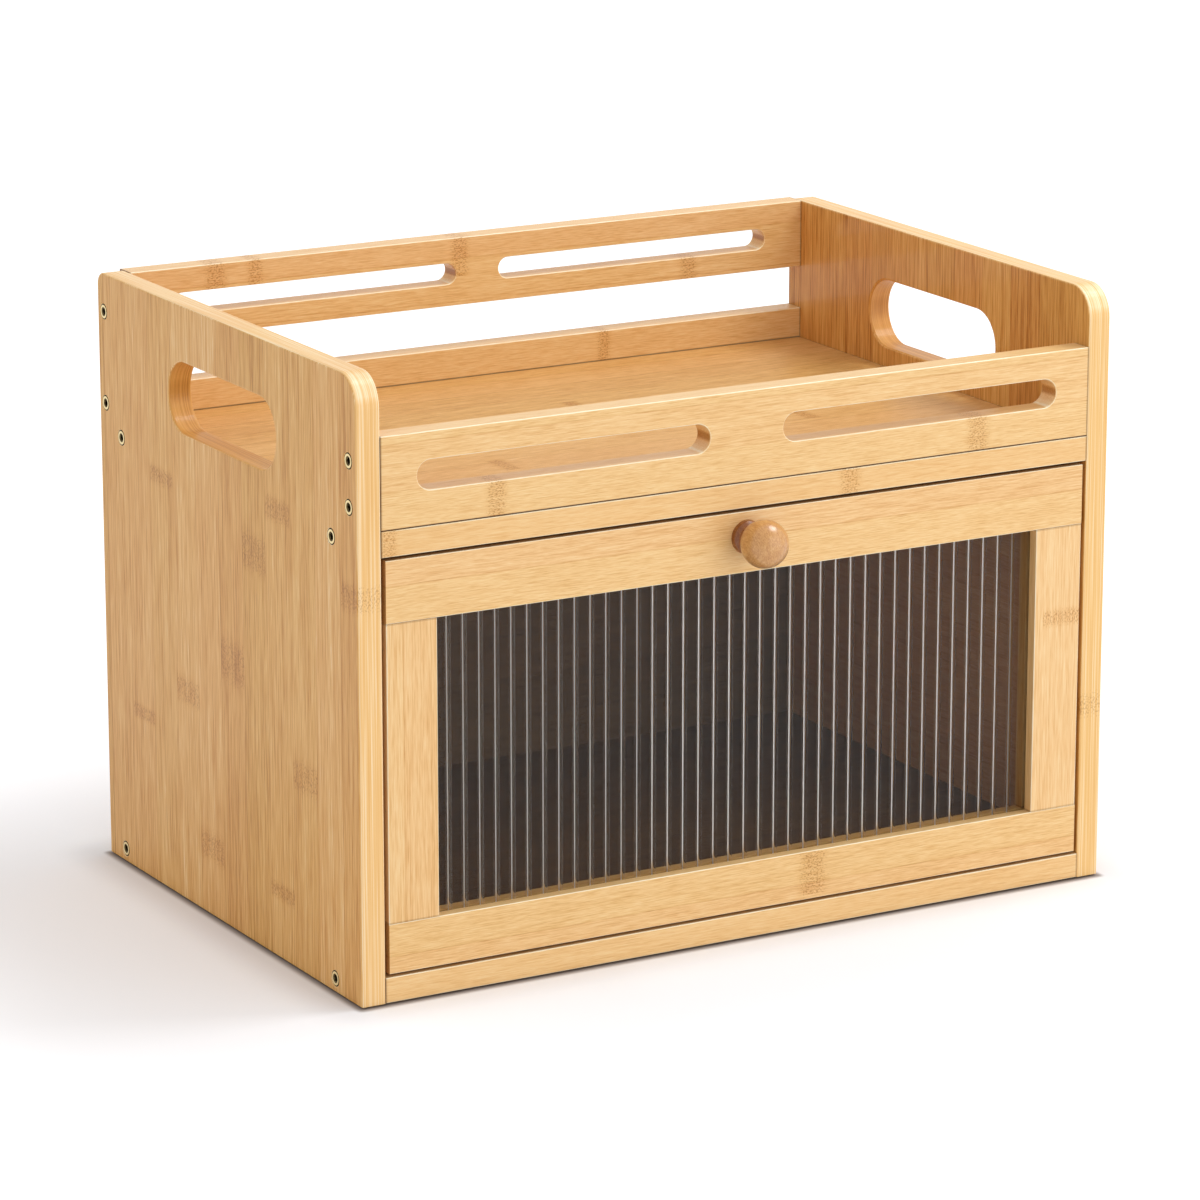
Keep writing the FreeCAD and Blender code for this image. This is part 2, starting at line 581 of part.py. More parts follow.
def window_pane(label):
    """A clear sheet with a row of thin upright ribs on its outer face."""
    low_edge = f"{FRONT_UNDERSIDE} + Dims.bottom_rail_height - Dims.pane_groove_depth + Dims.pane_clearance"
    body = new_body(label, y=f"{FRONT_FACE} + Dims.pane_setback", z=low_edge)
    sheet_outline = new_sketch(body, "outline", "XZ_Plane")
    add_rectangle(sheet_outline, f"-{PANE_HALF_WIDTH}", PANE_HALF_WIDTH, "0", PANE_HEIGHT)
    pad(body, sheet_outline, "Dims.pane_thickness", along_normal=False)

    section = new_sketch(body, "rib_section", "XY_Plane")
    first_rib = f"(-({RIB_COUNT} - 1) * Dims.rib_pitch / 2)"
    half = "Dims.rib_width / 2"
    corners = [
        (f"{first_rib} - {half}", "0"),
        (f"{first_rib} - {half} / 2", "-Dims.rib_height"),
        (f"{first_rib} + {half} / 2", "-Dims.rib_height"),
        (f"{first_rib} + {half}", "0"),
    ]
    points = [Vector(value(x), value(y), 0) for x, y in corners]
    sides = [Part.LineSegment(points[n], points[(n + 1) % 4]) for n in range(4)]
    section.addGeometry(sides, False)
    for n in range(4):
        section.addConstraint(Sketcher.Constraint("Coincident", n, 2, (n + 1) % 4, 1))
        pin(section, n, 1, *corners[n])
    rib = pad(body, section, PANE_HEIGHT)

    ribs = body.newObject("PartDesign::LinearPattern", f"{label}_ribs")
    ribs.Originals = [rib]
    ribs.Direction = (section, ["H_Axis"])
    ribs.setExpression("Length", f"({RIB_COUNT} - 1) * Dims.rib_pitch")
    ribs.setExpression("Occurrences", RIB_COUNT)
    body.Tip = ribs
    doc.recompute()
    return body


window_pane("window_pane")

# ---------------------------------------------------------------- the drawer box


def box_side(label, side):
    """A side of the drawer box, whose own origin is on its outer face at the drawer front."""
    inward = side < 0
    body = new_body(label, x=f"{side} * {HALF_DRAWER}", y=FRONT_REAR_FACE, z=BOX_UNDERSIDE)
    outline = new_sketch(body, "outline", "YZ_Plane")
    add_rectangle(outline, "0", BOX_LENGTH, "0", "Dims.box_height")
    pad(body, outline, "Dims.box_side_thickness", along_normal=inward)
    ease(body, "Dims.box_easing", lambda box: box.YLength > 1 and near(box.ZMin, value("Dims.box_height")))

    groove = new_sketch(body, "bottom_groove", "YZ_Plane", f"{-side} * Dims.box_side_thickness")
    low = "Dims.bottom_rise - Dims.groove_clearance"
    add_rectangle(groove, "0", BOX_LENGTH, low, f"{low} + {BOTTOM_GROOVE_WIDTH}")
    pocket(body, groove, "Dims.bottom_groove_depth", along_normal=not inward)

    dowels = new_sketch(body, "dowel_holes", "XZ_Plane")
    for rise in BOX_DOWELS:
        add_circle(dowels, f"{-side} * Dims.box_side_thickness / 2", rise, BOX_DOWEL_HOLE)
    pocket(body, dowels, "Dims.box_dowel_length - Dims.box_dowel_in_front + Dims.dowel_clearance")

    holes = new_sketch(body, "screw_holes", "YZ_Plane")
    for rise in BOX_SCREWS:
        add_circle(holes, f"{BOX_LENGTH} - Dims.box_side_thickness / 2", rise, BOX_SCREW_HOLE)
    countersunk_holes(body, holes, BOX_SCREW_HOLE, "Dims.box_screw_head", "Dims.box_side_thickness", inward)
    return body


box_side("drawer_left_side", -1)
box_side("drawer_right_side", +1)


def box_back(label):
    """The back of the drawer box, between its sides."""
    body = new_body(label, y=f"{BOX_REAR} - Dims.box_side_thickness", z=BOX_UNDERSIDE)
    outline = new_sketch(body, "outline", "XZ_Plane")
    add_rectangle(outline, f"-{BOX_HALF_INSIDE}", BOX_HALF_INSIDE, "0", "Dims.box_height")
    pad(body, outline, "Dims.box_side_thickness", along_normal=False)
    ease(body, "Dims.box_easing", lambda box: box.XLength > 1 and near(box.ZMin, value("Dims.box_height")))

    groove = new_sketch(body, "bottom_groove", "XZ_Plane")
    low = "Dims.bottom_rise - Dims.groove_clearance"
    add_rectangle(groove, f"-{BOX_HALF_INSIDE}", BOX_HALF_INSIDE, low, f"{low} + {BOTTOM_GROOVE_WIDTH}")
    pocket(body, groove, "Dims.bottom_groove_depth")

    screws = new_sketch(body, "screw_holes", "YZ_Plane", f"-{BOX_HALF_INSIDE}")
    for rise in BOX_SCREWS:
        add_circle(screws, "Dims.box_side_thickness / 2", rise, BOX_SCREW_HOLE)
    holes = pocket(body, screws, "Dims.box_screw_length - Dims.box_side_thickness + Dims.screw_clearance",
                   along_normal=True)
    mirror(body, [holes], "YZ_Plane")
    return body


box_back("drawer_back")
thin_panel("drawer_bottom",
           (f"2 * ({BOX_HALF_INSIDE} + {BOTTOM_REACH})",
            f"{BOX_LENGTH} - Dims.box_side_thickness + 2 * {BOTTOM_REACH}",
            "Dims.bottom_thickness"),
           (f"-({BOX_HALF_INSIDE} + {BOTTOM_REACH})", f"{FRONT_REAR_FACE} - {BOTTOM_REACH}",
            f"{BOX_UNDERSIDE} + Dims.bottom_rise"))

# ---------------------------------------------------------------- the knob


def turned_knob(label):
    """A turned knob: a ball on a waisted neck that spreads to a flat foot."""
    body = new_body(label, y=FRONT_FACE, z=f"{TOP_RAIL_UNDERSIDE} + {KNOB_RISE}")
    profile = new_sketch(body, "profile", "YZ_Plane")
    ball = "(Dims.knob_diameter / 2)"
    neck = "(Dims.knob_neck / 2)"
    neck_reach = f"(Dims.knob_reach - sqrt({ball}^2 - {neck}^2))"
    corners = [
        ("0", "0"),
        ("0", "Dims.knob_flange / 2"),
        ("-Dims.knob_flange_thickness", "Dims.knob_flange / 2"),
        (f"-{neck_reach}", neck),
        (f"-(Dims.knob_reach + {ball})", "0"),
    ]
    points = [Vector(value(x), value(y), 0) for x, y in corners]
    centre = Vector(-value("Dims.knob_reach"), 0, 0)
    radius = value(ball)
    start = math.atan2(points[3].y, points[3].x - centre.x)
    edges = [Part.LineSegment(points[n], points[n + 1]) for n in range(3)]
    edges.append(Part.ArcOfCircle(Part.Circle(centre, Vector(0, 0, 1), radius), start, math.pi))
    edges.append(Part.LineSegment(points[4], points[0]))
    profile.addGeometry(edges, False)
    for n in range(5):
        profile.addConstraint(Sketcher.Constraint("Coincident", n, 2, (n + 1) % 5, 1))
    for n in range(4):
        pin(profile, n, 1, *corners[n])
    pin(profile, 3, 3, "-Dims.knob_reach", "0")
    profile.addConstraint(Sketcher.Constraint("PointOnObject", 3, 2, -1))

    turned = body.newObject("PartDesign::Revolution", f"{label}_turned")
    turned.Profile = profile
    turned.ReferenceAxis = (profile, ["H_Axis"])
    turned.Angle = 360
    doc.recompute()

    rim = -value("Dims.knob_flange_thickness")
    waist = -value(neck_reach)
    ease(body, "Dims.knob_flange_thickness / 2", lambda box: near(box.YMin, rim) and near(box.YMax, rim))
    ease(body, "Dims.knob_neck / 4", lambda box: near(box.YMin, waist) and near(box.YMax, waist))

    bore = new_sketch(body, "screw_hole", "XZ_Plane")
    add_circle(bore, "0", "0", "Dims.knob_screw_shank / 2 + Dims.screw_clearance")
    pocket(body, bore, "Dims.knob_screw_grip + Dims.screw_clearance", along_normal=True)
    return body


turned_knob("knob")

# ---------------------------------------------------------------- screws and dowels


def countersunk_screw(head, shank, length, socket=None):
    """A screw along +X with its head's face at the origin; socket is a hexagon's width and depth."""
    head_radius = value(head) / 2
    shank_radius = value(shank) / 2
    cone = head_radius - shank_radius
    reach = value(length)
    outline = [
        Vector(0, 0, 0),
        Vector(0, head_radius, 0),
        Vector(cone, shank_radius, 0),
        Vector(reach - shank_radius, shank_radius, 0),
        Vector(reach, 0, 0),
    ]
    profile = Part.Face(Part.makePolygon(outline + outline[:1]))
    screw = profile.revolve(Vector(0, 0, 0), Vector(1, 0, 0), 360)
    if socket:
        width, depth = (value(size) for size in socket)
        corner_radius = width / math.sqrt(3)
        turns = [math.radians(60 * n) for n in range(7)]
        hexagon = [Vector(0, corner_radius * math.cos(a), corner_radius * math.sin(a)) for a in turns]
        screw = screw.cut(Part.Face(Part.makePolygon(hexagon)).extrude(Vector(depth, 0, 0)))
    return screw


def pan_head_screw(head, head_height, shank, length):
    """A screw along -Y with the underside of its head at the origin."""
    cap = Part.makeCylinder(value(head) / 2, value(head_height), Vector(0, 0, 0), Vector(0, 1, 0))
    rim = [edge for edge in cap.Edges if near(edge.BoundBox.YMin, value(head_height))]
    cap = cap.makeFillet(value(head_height) / 2, rim)
    return cap.fuse(Part.makeCylinder(value(shank) / 2, value(length), Vector(0, 0, 0), Vector(0, -1, 0)))


def dowel(diameter, length, axis):
    """A dowel from the origin along an axis, with chamfered ends."""
    radius = value(diameter) / 2
    pin_body = Part.makeCylinder(radius, value(length), Vector(0, 0, 0), axis)
    return pin_body.makeChamfer(radius / 6, [edge for edge in pin_body.Edges if edge.Closed])


def group(label, pieces):
    """Identical fasteners as separate solids of one sub-part: (shape, x, y, z, turned) each."""
    placed = []
    for shape, x, y, z, turned in pieces:
        copy = shape.copy()
        half_turn = FreeCAD.Rotation(Vector(0, 0, 1), 180 if turned else 0)
        copy.Placement = FreeCAD.Placement(Vector(value(x), value(y), value(z)), half_turn)
        placed.append(copy)
    item = doc.addObject("Part::Feature", label)
    item.Label = label
    item.Shape = Part.makeCompound(placed)
    return item


case_screw = countersunk_screw("Dims.screw_head", "Dims.screw_shank", "Dims.screw_length",
                               ("Dims.socket_width", "Dims.socket_depth"))
for label, side in (("left_side_screws", -1), ("right_side_screws", +1)):
    group(label, [(case_screw, f"{side} * Dims.width / 2", y, z, side > 0) for y, z in ALL_CASE_SCREWS])

rail_dowel = dowel("Dims.dowel_diameter", "Dims.rail_dowel_length", Vector(1, 0, 0))
group("upper_rail_dowels", [
    (rail_dowel, f"{side} * ({HALF_INSIDE} + Dims.rail_dowel_in_side)", *RAIL_DOWEL, side > 0)
    for side in (-1, 1)])

frame_dowel = dowel("Dims.dowel_diameter", "Dims.frame_dowel_length", Vector(0, 0, 1))
FRAME_JOINTS = [f"({FRONT_UNDERSIDE} + Dims.bottom_rail_height)", TOP_RAIL_UNDERSIDE]
group("frame_dowels", [
    (frame_dowel, f"{side} * ({HALF_DRAWER} - {margin})", f"{FRONT_FACE} + Dims.front_thickness / 2",
     f"{joint} - Dims.frame_dowel_length / 2", False)
    for side in (-1, 1) for margin in FRAME_DOWELS for joint in FRAME_JOINTS])

box_dowel = dowel("Dims.box_dowel_diameter", "Dims.box_dowel_length", Vector(0, 1, 0))
group("drawer_side_dowels", [
    (box_dowel, f"{side} * ({HALF_DRAWER} - Dims.box_side_thickness / 2)",
     f"{FRONT_REAR_FACE} - Dims.box_dowel_in_front", f"{BOX_UNDERSIDE} + {rise}", False)
    for side in (-1, 1) for rise in BOX_DOWELS])

box_screw = countersunk_screw("Dims.box_screw_head", "Dims.box_screw_shank", "Dims.box_screw_length")
group("drawer_back_screws", [
    (box_screw, f"{side} * {HALF_DRAWER}", f"{BOX_REAR} - Dims.box_side_thickness / 2",
     f"{BOX_UNDERSIDE} + {rise}", side > 0)
    for side in (-1, 1) for rise in BOX_SCREWS])

knob_screw = pan_head_screw("Dims.knob_screw_head", "Dims.knob_screw_head_height",
                            "Dims.knob_screw_shank", "Dims.front_thickness + Dims.knob_screw_grip")
group("knob_screw", [(knob_screw, "0", FRONT_REAR_FACE, f"{TOP_RAIL_UNDERSIDE} + {KNOB_RISE}", False)])

# ---------------------------------------------------------------- checks and STEP files

doc.recompute()
failed = [item.Name for item in doc.Objects if "Invalid" in item.State or "Error" in item.State]
if failed:
    raise RuntimeError(f"failed to recompute: {failed}")

subparts = [item for item in doc.Objects
            if item.TypeId in ("PartDesign::Body", "Part::Box", "Part::Feature")
            and item.getParentGeoFeatureGroup() is None]
for item in subparts:
    if item.Shape.isNull() or not item.Shape.isValid():
        raise RuntimeError(f"{item.Label} has no valid shape")

os.makedirs("parts", exist_ok=True)
for item in subparts:
    item.Shape.exportStep(os.path.join("parts", f"{item.Label}.step"))
    box = item.Shape.BoundBox
    span = f"{box.XLength:.1f} x {box.YLength:.1f} x {box.ZLength:.1f} mm"
    print(f"{item.Label}: {len(item.Shape.Solids)} solid(s), {item.Shape.Volume / 1000:.1f} cm3, {span}")
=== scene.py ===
# %% [markdown]
# # A bamboo bread box with a drawer
# The box comes from the CAD program as 25 named parts that already have their true size and place.
# This lesson gives each part its finish, rebuilds the few parts that need finer work, lights the box
# as a maker would for a catalogue, and sets up the camera. Lengths are in metres, and MM turns
# millimetres into metres.

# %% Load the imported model
import math

import bmesh
import bpy
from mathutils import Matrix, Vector


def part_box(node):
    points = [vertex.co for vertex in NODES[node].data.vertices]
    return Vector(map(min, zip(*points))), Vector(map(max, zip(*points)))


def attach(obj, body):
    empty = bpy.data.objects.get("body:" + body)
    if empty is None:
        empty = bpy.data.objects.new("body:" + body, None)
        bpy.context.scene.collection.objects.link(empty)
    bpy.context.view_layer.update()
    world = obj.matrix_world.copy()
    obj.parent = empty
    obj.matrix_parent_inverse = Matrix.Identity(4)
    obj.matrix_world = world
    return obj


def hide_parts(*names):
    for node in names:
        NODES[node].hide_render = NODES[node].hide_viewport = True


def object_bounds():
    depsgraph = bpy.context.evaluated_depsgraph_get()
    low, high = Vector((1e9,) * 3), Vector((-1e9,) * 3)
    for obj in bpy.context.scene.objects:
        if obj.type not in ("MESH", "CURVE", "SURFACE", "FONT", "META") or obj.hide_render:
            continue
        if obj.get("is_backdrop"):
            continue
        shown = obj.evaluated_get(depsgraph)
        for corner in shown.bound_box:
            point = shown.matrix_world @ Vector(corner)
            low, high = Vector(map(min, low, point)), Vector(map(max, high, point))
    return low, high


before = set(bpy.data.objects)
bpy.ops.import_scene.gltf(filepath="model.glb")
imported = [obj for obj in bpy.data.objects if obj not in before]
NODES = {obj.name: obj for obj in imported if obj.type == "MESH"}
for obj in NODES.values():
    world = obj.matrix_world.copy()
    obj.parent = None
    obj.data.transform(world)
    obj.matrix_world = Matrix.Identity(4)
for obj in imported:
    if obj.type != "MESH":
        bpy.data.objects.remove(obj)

MM = 0.001
CAD_LOW, CAD_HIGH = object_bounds()
print("parts:", len(NODES), "size in mm:", [round(side / MM, 1) for side in CAD_HIGH - CAD_LOW])

# %% [markdown]
# ## A few small helpers
# Colours are easiest to read as the hex values that a paint card or a web page gives. Blender works
# in linear light, so one function turns a hex value into linear numbers. The other main helper adds
# a node to a tree: its inputs may be plain values, other nodes (their first output is used) or single
# output sockets, and everything else is a setting of the node. A Mix node has its numbers at inputs
# 2 and 3, its colours at inputs 6 and 7, and its mixed colour at output 2.

# %% Colours from hex, and one function that adds a node
def linear(shade):
    parts = [int(shade[place:place + 2], 16) / 255 for place in (1, 3, 5)]
    parts = [part / 12.92 if part <= 0.04045 else ((part + 0.055) / 1.055) ** 2.4 for part in parts]
    return parts + [1.0]


def add(tree, kind, inputs=None, **settings):
    node = tree.nodes.new(kind)
    for name, value in settings.items():
        setattr(node, name, value)
    for key, value in (inputs or {}).items():
        if isinstance(value, bpy.types.Node):
            value = value.outputs[0]
        if isinstance(value, bpy.types.NodeSocket):
            tree.links.new(value, node.inputs[key])
        else:
            node.inputs[key].default_value = value
    return node


print("a mid grey in linear light:", [round(part, 3) for part in linear("#808080")])


# %% An empty material, and the stops of a colour ramp
# A ramp has two stops at first. The missing ones are added, and then each gets its place and colour.
def new_finish(name):
    finish = bpy.data.materials.new(name)
    finish.use_nodes = True
    finish.node_tree.nodes.clear()
    return finish, finish.node_tree


def set_stops(ramp, tones):
    while len(ramp.color_ramp.elements) < len(tones):
        ramp.color_ramp.elements.new(0.5)
    for stop, (position, shade) in zip(ramp.color_ramp.elements, tones):
        stop.position, stop.color = position, linear(shade)


print("helpers so far:", [helper.__name__ for helper in (linear, add, new_finish, set_stops)])

# %% [markdown]
# ## The camera
# The camera stands to the left of the box and a little above it, so that the drawer front, the left
# side and the inside of the tray all show. A short lens close by would swell the near corner and
# shrink the far ones, so a long lens from 2.6 m away keeps the edges nearly parallel. The camera looks
# straight at its target, without any lens shift.

# %% Place the camera
AZIMUTH, ELEVATION = math.radians(-29.666), math.radians(14.883)
TARGET = Vector((-0.0003, 0.0, 0.1323))
DISTANCE = 2.6
FOCAL_LENGTH = 161.89
back = Vector((math.sin(AZIMUTH) * math.cos(ELEVATION),
               -math.cos(AZIMUTH) * math.cos(ELEVATION),
               math.sin(ELEVATION)))
lens = bpy.data.cameras.new("camera")
lens.sensor_width = 36
lens.lens = FOCAL_LENGTH
lens.clip_start, lens.clip_end = 0.05, 60
camera = bpy.data.objects.new("camera", lens)
camera.location = TARGET + back * DISTANCE
camera.rotation_mode = "QUATERNION"
camera.rotation_quaternion = (-back).to_track_quat("-Z", "Y")
bpy.context.scene.collection.objects.link(camera)
bpy.context.scene.camera = camera
bpy.context.scene.view_settings.view_transform = "Standard"
print("camera at", [round(place, 3) for place in camera.location])

# %% [markdown]
# ## Floor and light
# The box stands on a white studio floor. The floor is a large plane of matt paint that takes the soft
# shadow. Stronger lamps could make it white, but they would bleach the bamboo too. So it has a small
# share of glow that only the camera, mirror-like surfaces and clear plastic see. The glow grows with
# the distance from the box, so that the shadow at its foot stays. The sky is white in the same way.
# Two lamps do the rest: a very wide one in front lifts the drawer front, and a smaller one high on
# the right draws the highlights and the shadow on the left.

# %% The sky
SKY_LIGHT = 0.76


def rays_that_see(tree):
    path = add(tree, "ShaderNodeLightPath")
    seen = path.outputs["Is Camera Ray"]
    for ray in ("Is Glossy Ray", "Is Transmission Ray"):
        seen = add(tree, "ShaderNodeMath", {0: seen, 1: path.outputs[ray]}, operation="MAXIMUM")
    return seen


world = bpy.data.worlds.new("studio")
bpy.context.scene.world = world
world.use_nodes = True
sky = world.node_tree
sky.nodes.clear()
strength = add(sky, "ShaderNodeMapRange", {"Value": rays_that_see(sky), "To Min": SKY_LIGHT, "To Max": 1.0})
glow = add(sky, "ShaderNodeBackground", {"Color": (1, 1, 1, 1), "Strength": strength})
add(sky, "ShaderNodeOutputWorld", {"Surface": glow})
print("sky light on the box:", SKY_LIGHT)

# %% The floor's paint
# How far a point is from the foot of the box decides how much it glows, and the last few millimetres
# are painted darker, a painted contact shadow for the shade below the eased lower edges of a real box.
# The knob doesn't reach the floor, so half the width and depth are those of the box without it.
HALF_BOX = (0.2, 0.135, 0)
FOOT = 5 * MM
NEAR_END, NEAR_SHARE = 30 * MM, 0.085
FAR_START, FAR_END, FAR_SHARE = 70 * MM, 300 * MM, 0.16
GLOW_STRENGTH = 2.4
paint, tree = new_finish("white_studio_floor")
place = add(tree, "ShaderNodeTexCoord")
outside = add(tree, "ShaderNodeVectorMath", {0: place.outputs["Object"]}, operation="ABSOLUTE")
outside = add(tree, "ShaderNodeVectorMath", {0: outside, 1: HALF_BOX}, operation="SUBTRACT")
outside = add(tree, "ShaderNodeVectorMath", {0: outside, 1: (0, 0, 0)}, operation="MAXIMUM")
distance = add(tree, "ShaderNodeVectorMath", {0: outside}, operation="LENGTH").outputs["Value"]
near = add(tree, "ShaderNodeMapRange", {"Value": distance, "From Max": NEAR_END, "To Max": NEAR_SHARE},
           interpolation_type="SMOOTHSTEP")
far = add(tree, "ShaderNodeMapRange", {"Value": distance, "From Min": FAR_START, "From Max": FAR_END,
                                       "To Max": FAR_SHARE}, interpolation_type="SMOOTHSTEP")
share = add(tree, "ShaderNodeMath", {0: near, 1: far}, operation="ADD")
share = add(tree, "ShaderNodeMath", {0: share, 1: rays_that_see(tree)}, operation="MULTIPLY")
# Painted contact shadow: within FOOT of the box the floor's colour darkens to a warm grey.
foot = add(tree, "ShaderNodeMapRange", {"Value": distance, "From Max": FOOT},
           interpolation_type="SMOOTHERSTEP")
shaded = add(tree, "ShaderNodeMix", {0: foot, 6: linear("#998c84"), 7: linear("#f3f3f6")}, data_type="RGBA")
matt = add(tree, "ShaderNodeBsdfDiffuse", {"Color": shaded.outputs[2]})
white = add(tree, "ShaderNodeEmission", {"Color": (1, 1, 1, 1), "Strength": GLOW_STRENGTH})
both = add(tree, "ShaderNodeMixShader", {0: share, 1: matt, 2: white})
add(tree, "ShaderNodeOutputMaterial", {"Surface": both})
print("the floor has its full glow", FAR_END, "m from the box")

# %% The floor
# It lies 1 mm under the box, so that the two don't share a plane.
REACH, LEVEL = 12, -1 * MM
corners = [(x * REACH, y * REACH, LEVEL) for x, y in ((-1, -1), (1, -1), (1, 1), (-1, 1))]
sheet = bpy.data.meshes.new("floor")
sheet.from_pydata(corners, [], [(0, 1, 2, 3)])
sheet.materials.append(paint)
floor = bpy.data.objects.new("floor", sheet)
bpy.context.scene.collection.objects.link(floor)
floor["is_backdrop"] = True
print("floor is", 2 * REACH, "m wide")

# %% The lamps
LAMP_AIM = Vector((0, 0, 0.12))


def lamp(name, place, width, height, power):
    light = bpy.data.lights.new(name, "AREA")
    light.shape = "RECTANGLE"
    light.size, light.size_y = width, height
    light.energy = power
    stand = bpy.data.objects.new(name, light)
    stand.location = place
    stand.rotation_mode = "QUATERNION"
    stand.rotation_quaternion = (LAMP_AIM - stand.location).to_track_quat("-Z", "Y")
    bpy.context.scene.collection.objects.link(stand)
    print(name, "stands", round(stand.location.length, 2), "m away")


lamp("wide_front_lamp", (0.80, -1.95, 0.85), width=2.4, height=1.8, power=13.5)
lamp("high_right_lamp", (1.05, -0.27, 2.03), width=0.8, height=0.8, power=17)

# %% [markdown]
# ## Bamboo, step by step
# A bamboo board isn't sawn from a trunk. The cane is split into strips about 20 mm wide and a few
# millimetres thick, and these are glued side by side and in layers, then sanded and lacquered. So a
# board shows strips of slightly different tone, fine straight fibres along each strip, and now and
# then a knuckle, the old joint of the cane, as a short patch of dark dashes.
#
# These marks could be painted on each face, but then they would stop at its edges. Written as a solid
# pattern in space they run on through the wood: which strip and layer a point is in, how far along
# the strip it is, and noise that is stretched along the grain. The layers then show on the edges of
# a panel by themselves. Everything adds up to one number, the tone, which is 0 at the darkest fibre
# and 1 at the palest edge.

# %% Step 1: turn the part's own axes into along, across and through
# The fibres of real cane sway a little, so slow noise pushes the grain across by up to the drift.
SWAY_LENGTH, SWAY_WIDTH = 32 * MM, 9 * MM


def grain_space(tree, axes, drift):
    place = add(tree, "ShaderNodeTexCoord")
    parts = add(tree, "ShaderNodeSeparateXYZ", {0: place.outputs["Object"]})
    along, across, through = [parts.outputs[axis] for axis in axes]
    straight = add(tree, "ShaderNodeCombineXYZ", {"X": along, "Y": across, "Z": through})
    slow = add(tree, "ShaderNodeMapping",
               {"Vector": straight, "Scale": (1 / SWAY_LENGTH, 1 / SWAY_WIDTH, 1 / SWAY_WIDTH)})
    sway = add(tree, "ShaderNodeTexNoise", {"Vector": slow, "Scale": 1.0, "Detail": 1.0})
    sway = add(tree, "ShaderNodeMath", {0: sway, 1: drift * 2, 2: -drift}, operation="MULTIPLY_ADD")
    bent = add(tree, "ShaderNodeMath", {0: across, 1: sway}, operation="ADD")
    return straight, add(tree, "ShaderNodeCombineXYZ", {"X": along, "Y": bent, "Z": through})


print("the grain sways over about", round(SWAY_LENGTH / MM), "mm")

# %% Step 2: number the strips and layers, and draw three random values for each
# A layer here is thicker than a board, so that nearly every strip keeps its tone from one face to the
# other.
LAYER = 60 * MM


def strip_chance(tree, straight, strip, first, seed):
    cell = add(tree, "ShaderNodeMapping", {"Vector": straight, "Location": (seed, -first / strip, 0),
                                           "Scale": (0, 1 / strip, 1 / LAYER)})
    whole = add(tree, "ShaderNodeVectorMath", {0: cell}, operation="FLOOR")
    chance = add(tree, "ShaderNodeTexWhiteNoise", {"Vector": whole}, noise_dimensions="3D")
    return cell, add(tree, "ShaderNodeSeparateColor", {0: chance.outputs["Color"]})


print("a layer is", round(LAYER / MM), "mm thick")

# %% Step 3: fibres, as noise stretched along the grain
# Every strip is a different piece of cane, so its random value also shifts the noise. The finest
# fibres of real cane are under 0.2 mm wide. Here they are 0.3 mm or more, so that they still show.
STRIP_SHIFT = (40, 17, 23)


def fibres(tree, grain, chance, sizes):
    found = []
    for length, width in sizes:
        scale = (1 / (length * MM), 1 / (width * MM), 1 / (width * MM))
        stretched = add(tree, "ShaderNodeMapping", {"Vector": grain, "Scale": scale})
        shifted = add(tree, "ShaderNodeVectorMath", {0: chance.outputs[2], 1: STRIP_SHIFT, 2: stretched},
                      operation="MULTIPLY_ADD")
        found.append(add(tree, "ShaderNodeTexNoise",
                         {"Vector": shifted, "Scale": 1.0, "Detail": 2.0, "Roughness": 0.55}))
    return found


print("the noise shifts from strip to strip by up to", STRIP_SHIFT)

# %% Step 4: knuckles, each a short patch right across one strip
# A spot is (place along the grain, place across it, half its length), all in millimetres. Its patch
# fades out along the grain and ends sharply at the sides of the strip. In it, noise that passes a
# limit makes the dashes.
PATCH_FADE = (1.25, 0.35)
PATCH_SIDE = 0.5 * MM
DASH_LENGTH, DASH_WIDTH = 1.2 * MM, 0.6 * MM
DASH_LIMIT = (0.63, 0.73)
DASH_GAIN = 0.13


def knuckle_patches(tree, straight, spots, strip):
    patches = None
    for along, across, half in spots:
        middle = (along * MM, across * MM, 0)
        away = add(tree, "ShaderNodeVectorMath", {0: straight, 1: middle}, operation="SUBTRACT")
        away = add(tree, "ShaderNodeVectorMath", {0: away}, operation="ABSOLUTE")
        away = add(tree, "ShaderNodeSeparateXYZ", {0: away})
        near = add(tree, "ShaderNodeMapRange", {
            "Value": away.outputs["X"], "From Min": half * PATCH_FADE[0] * MM,
            "From Max": half * PATCH_FADE[1] * MM}, interpolation_type="SMOOTHSTEP")
        inside = add(tree, "ShaderNodeMapRange", {
            "Value": away.outputs["Y"], "From Min": strip / 2, "From Max": strip / 2 - PATCH_SIDE})
        patch = add(tree, "ShaderNodeMath", {0: near, 1: inside}, operation="MULTIPLY")
        if patches:
            patch = add(tree, "ShaderNodeMath", {0: patch, 1: patches}, operation="MAXIMUM")
        patches = patch
    return patches


def knuckle_dashes(tree, straight, patches):
    spread = add(tree, "ShaderNodeMapping",
                 {"Vector": straight, "Scale": (1 / DASH_LENGTH, 1 / DASH_WIDTH, 1 / DASH_WIDTH)})
    specks = add(tree, "ShaderNodeTexNoise", {"Vector": spread, "Scale": 1.0, "Detail": 1.0})
    specks = add(tree, "ShaderNodeMath", {0: patches, 1: DASH_GAIN, 2: specks}, operation="MULTIPLY_ADD")
    specks = add(tree, "ShaderNodeMapRange", {"Value": specks, "From Min": DASH_LIMIT[0],
                                              "From Max": DASH_LIMIT[1]}, interpolation_type="SMOOTHSTEP")
    return add(tree, "ShaderNodeMath", {0: specks, 1: patches}, operation="MULTIPLY")


print("a dash is about", round(DASH_LENGTH / MM, 1), "mm long")

# %% Step 5: where the surface is a flat face, where it cuts the fibres across, and where it is eased
# Each range says how squarely the surface faces an axis where the effect begins, and where it is full.
# The last one runs backwards, because an eased rim faces no axis squarely.
FACE_RANGE, CUT_RANGE, EASED_RANGE = (0.55, 0.85), (0.35, 0.80), (0.99, 0.93)


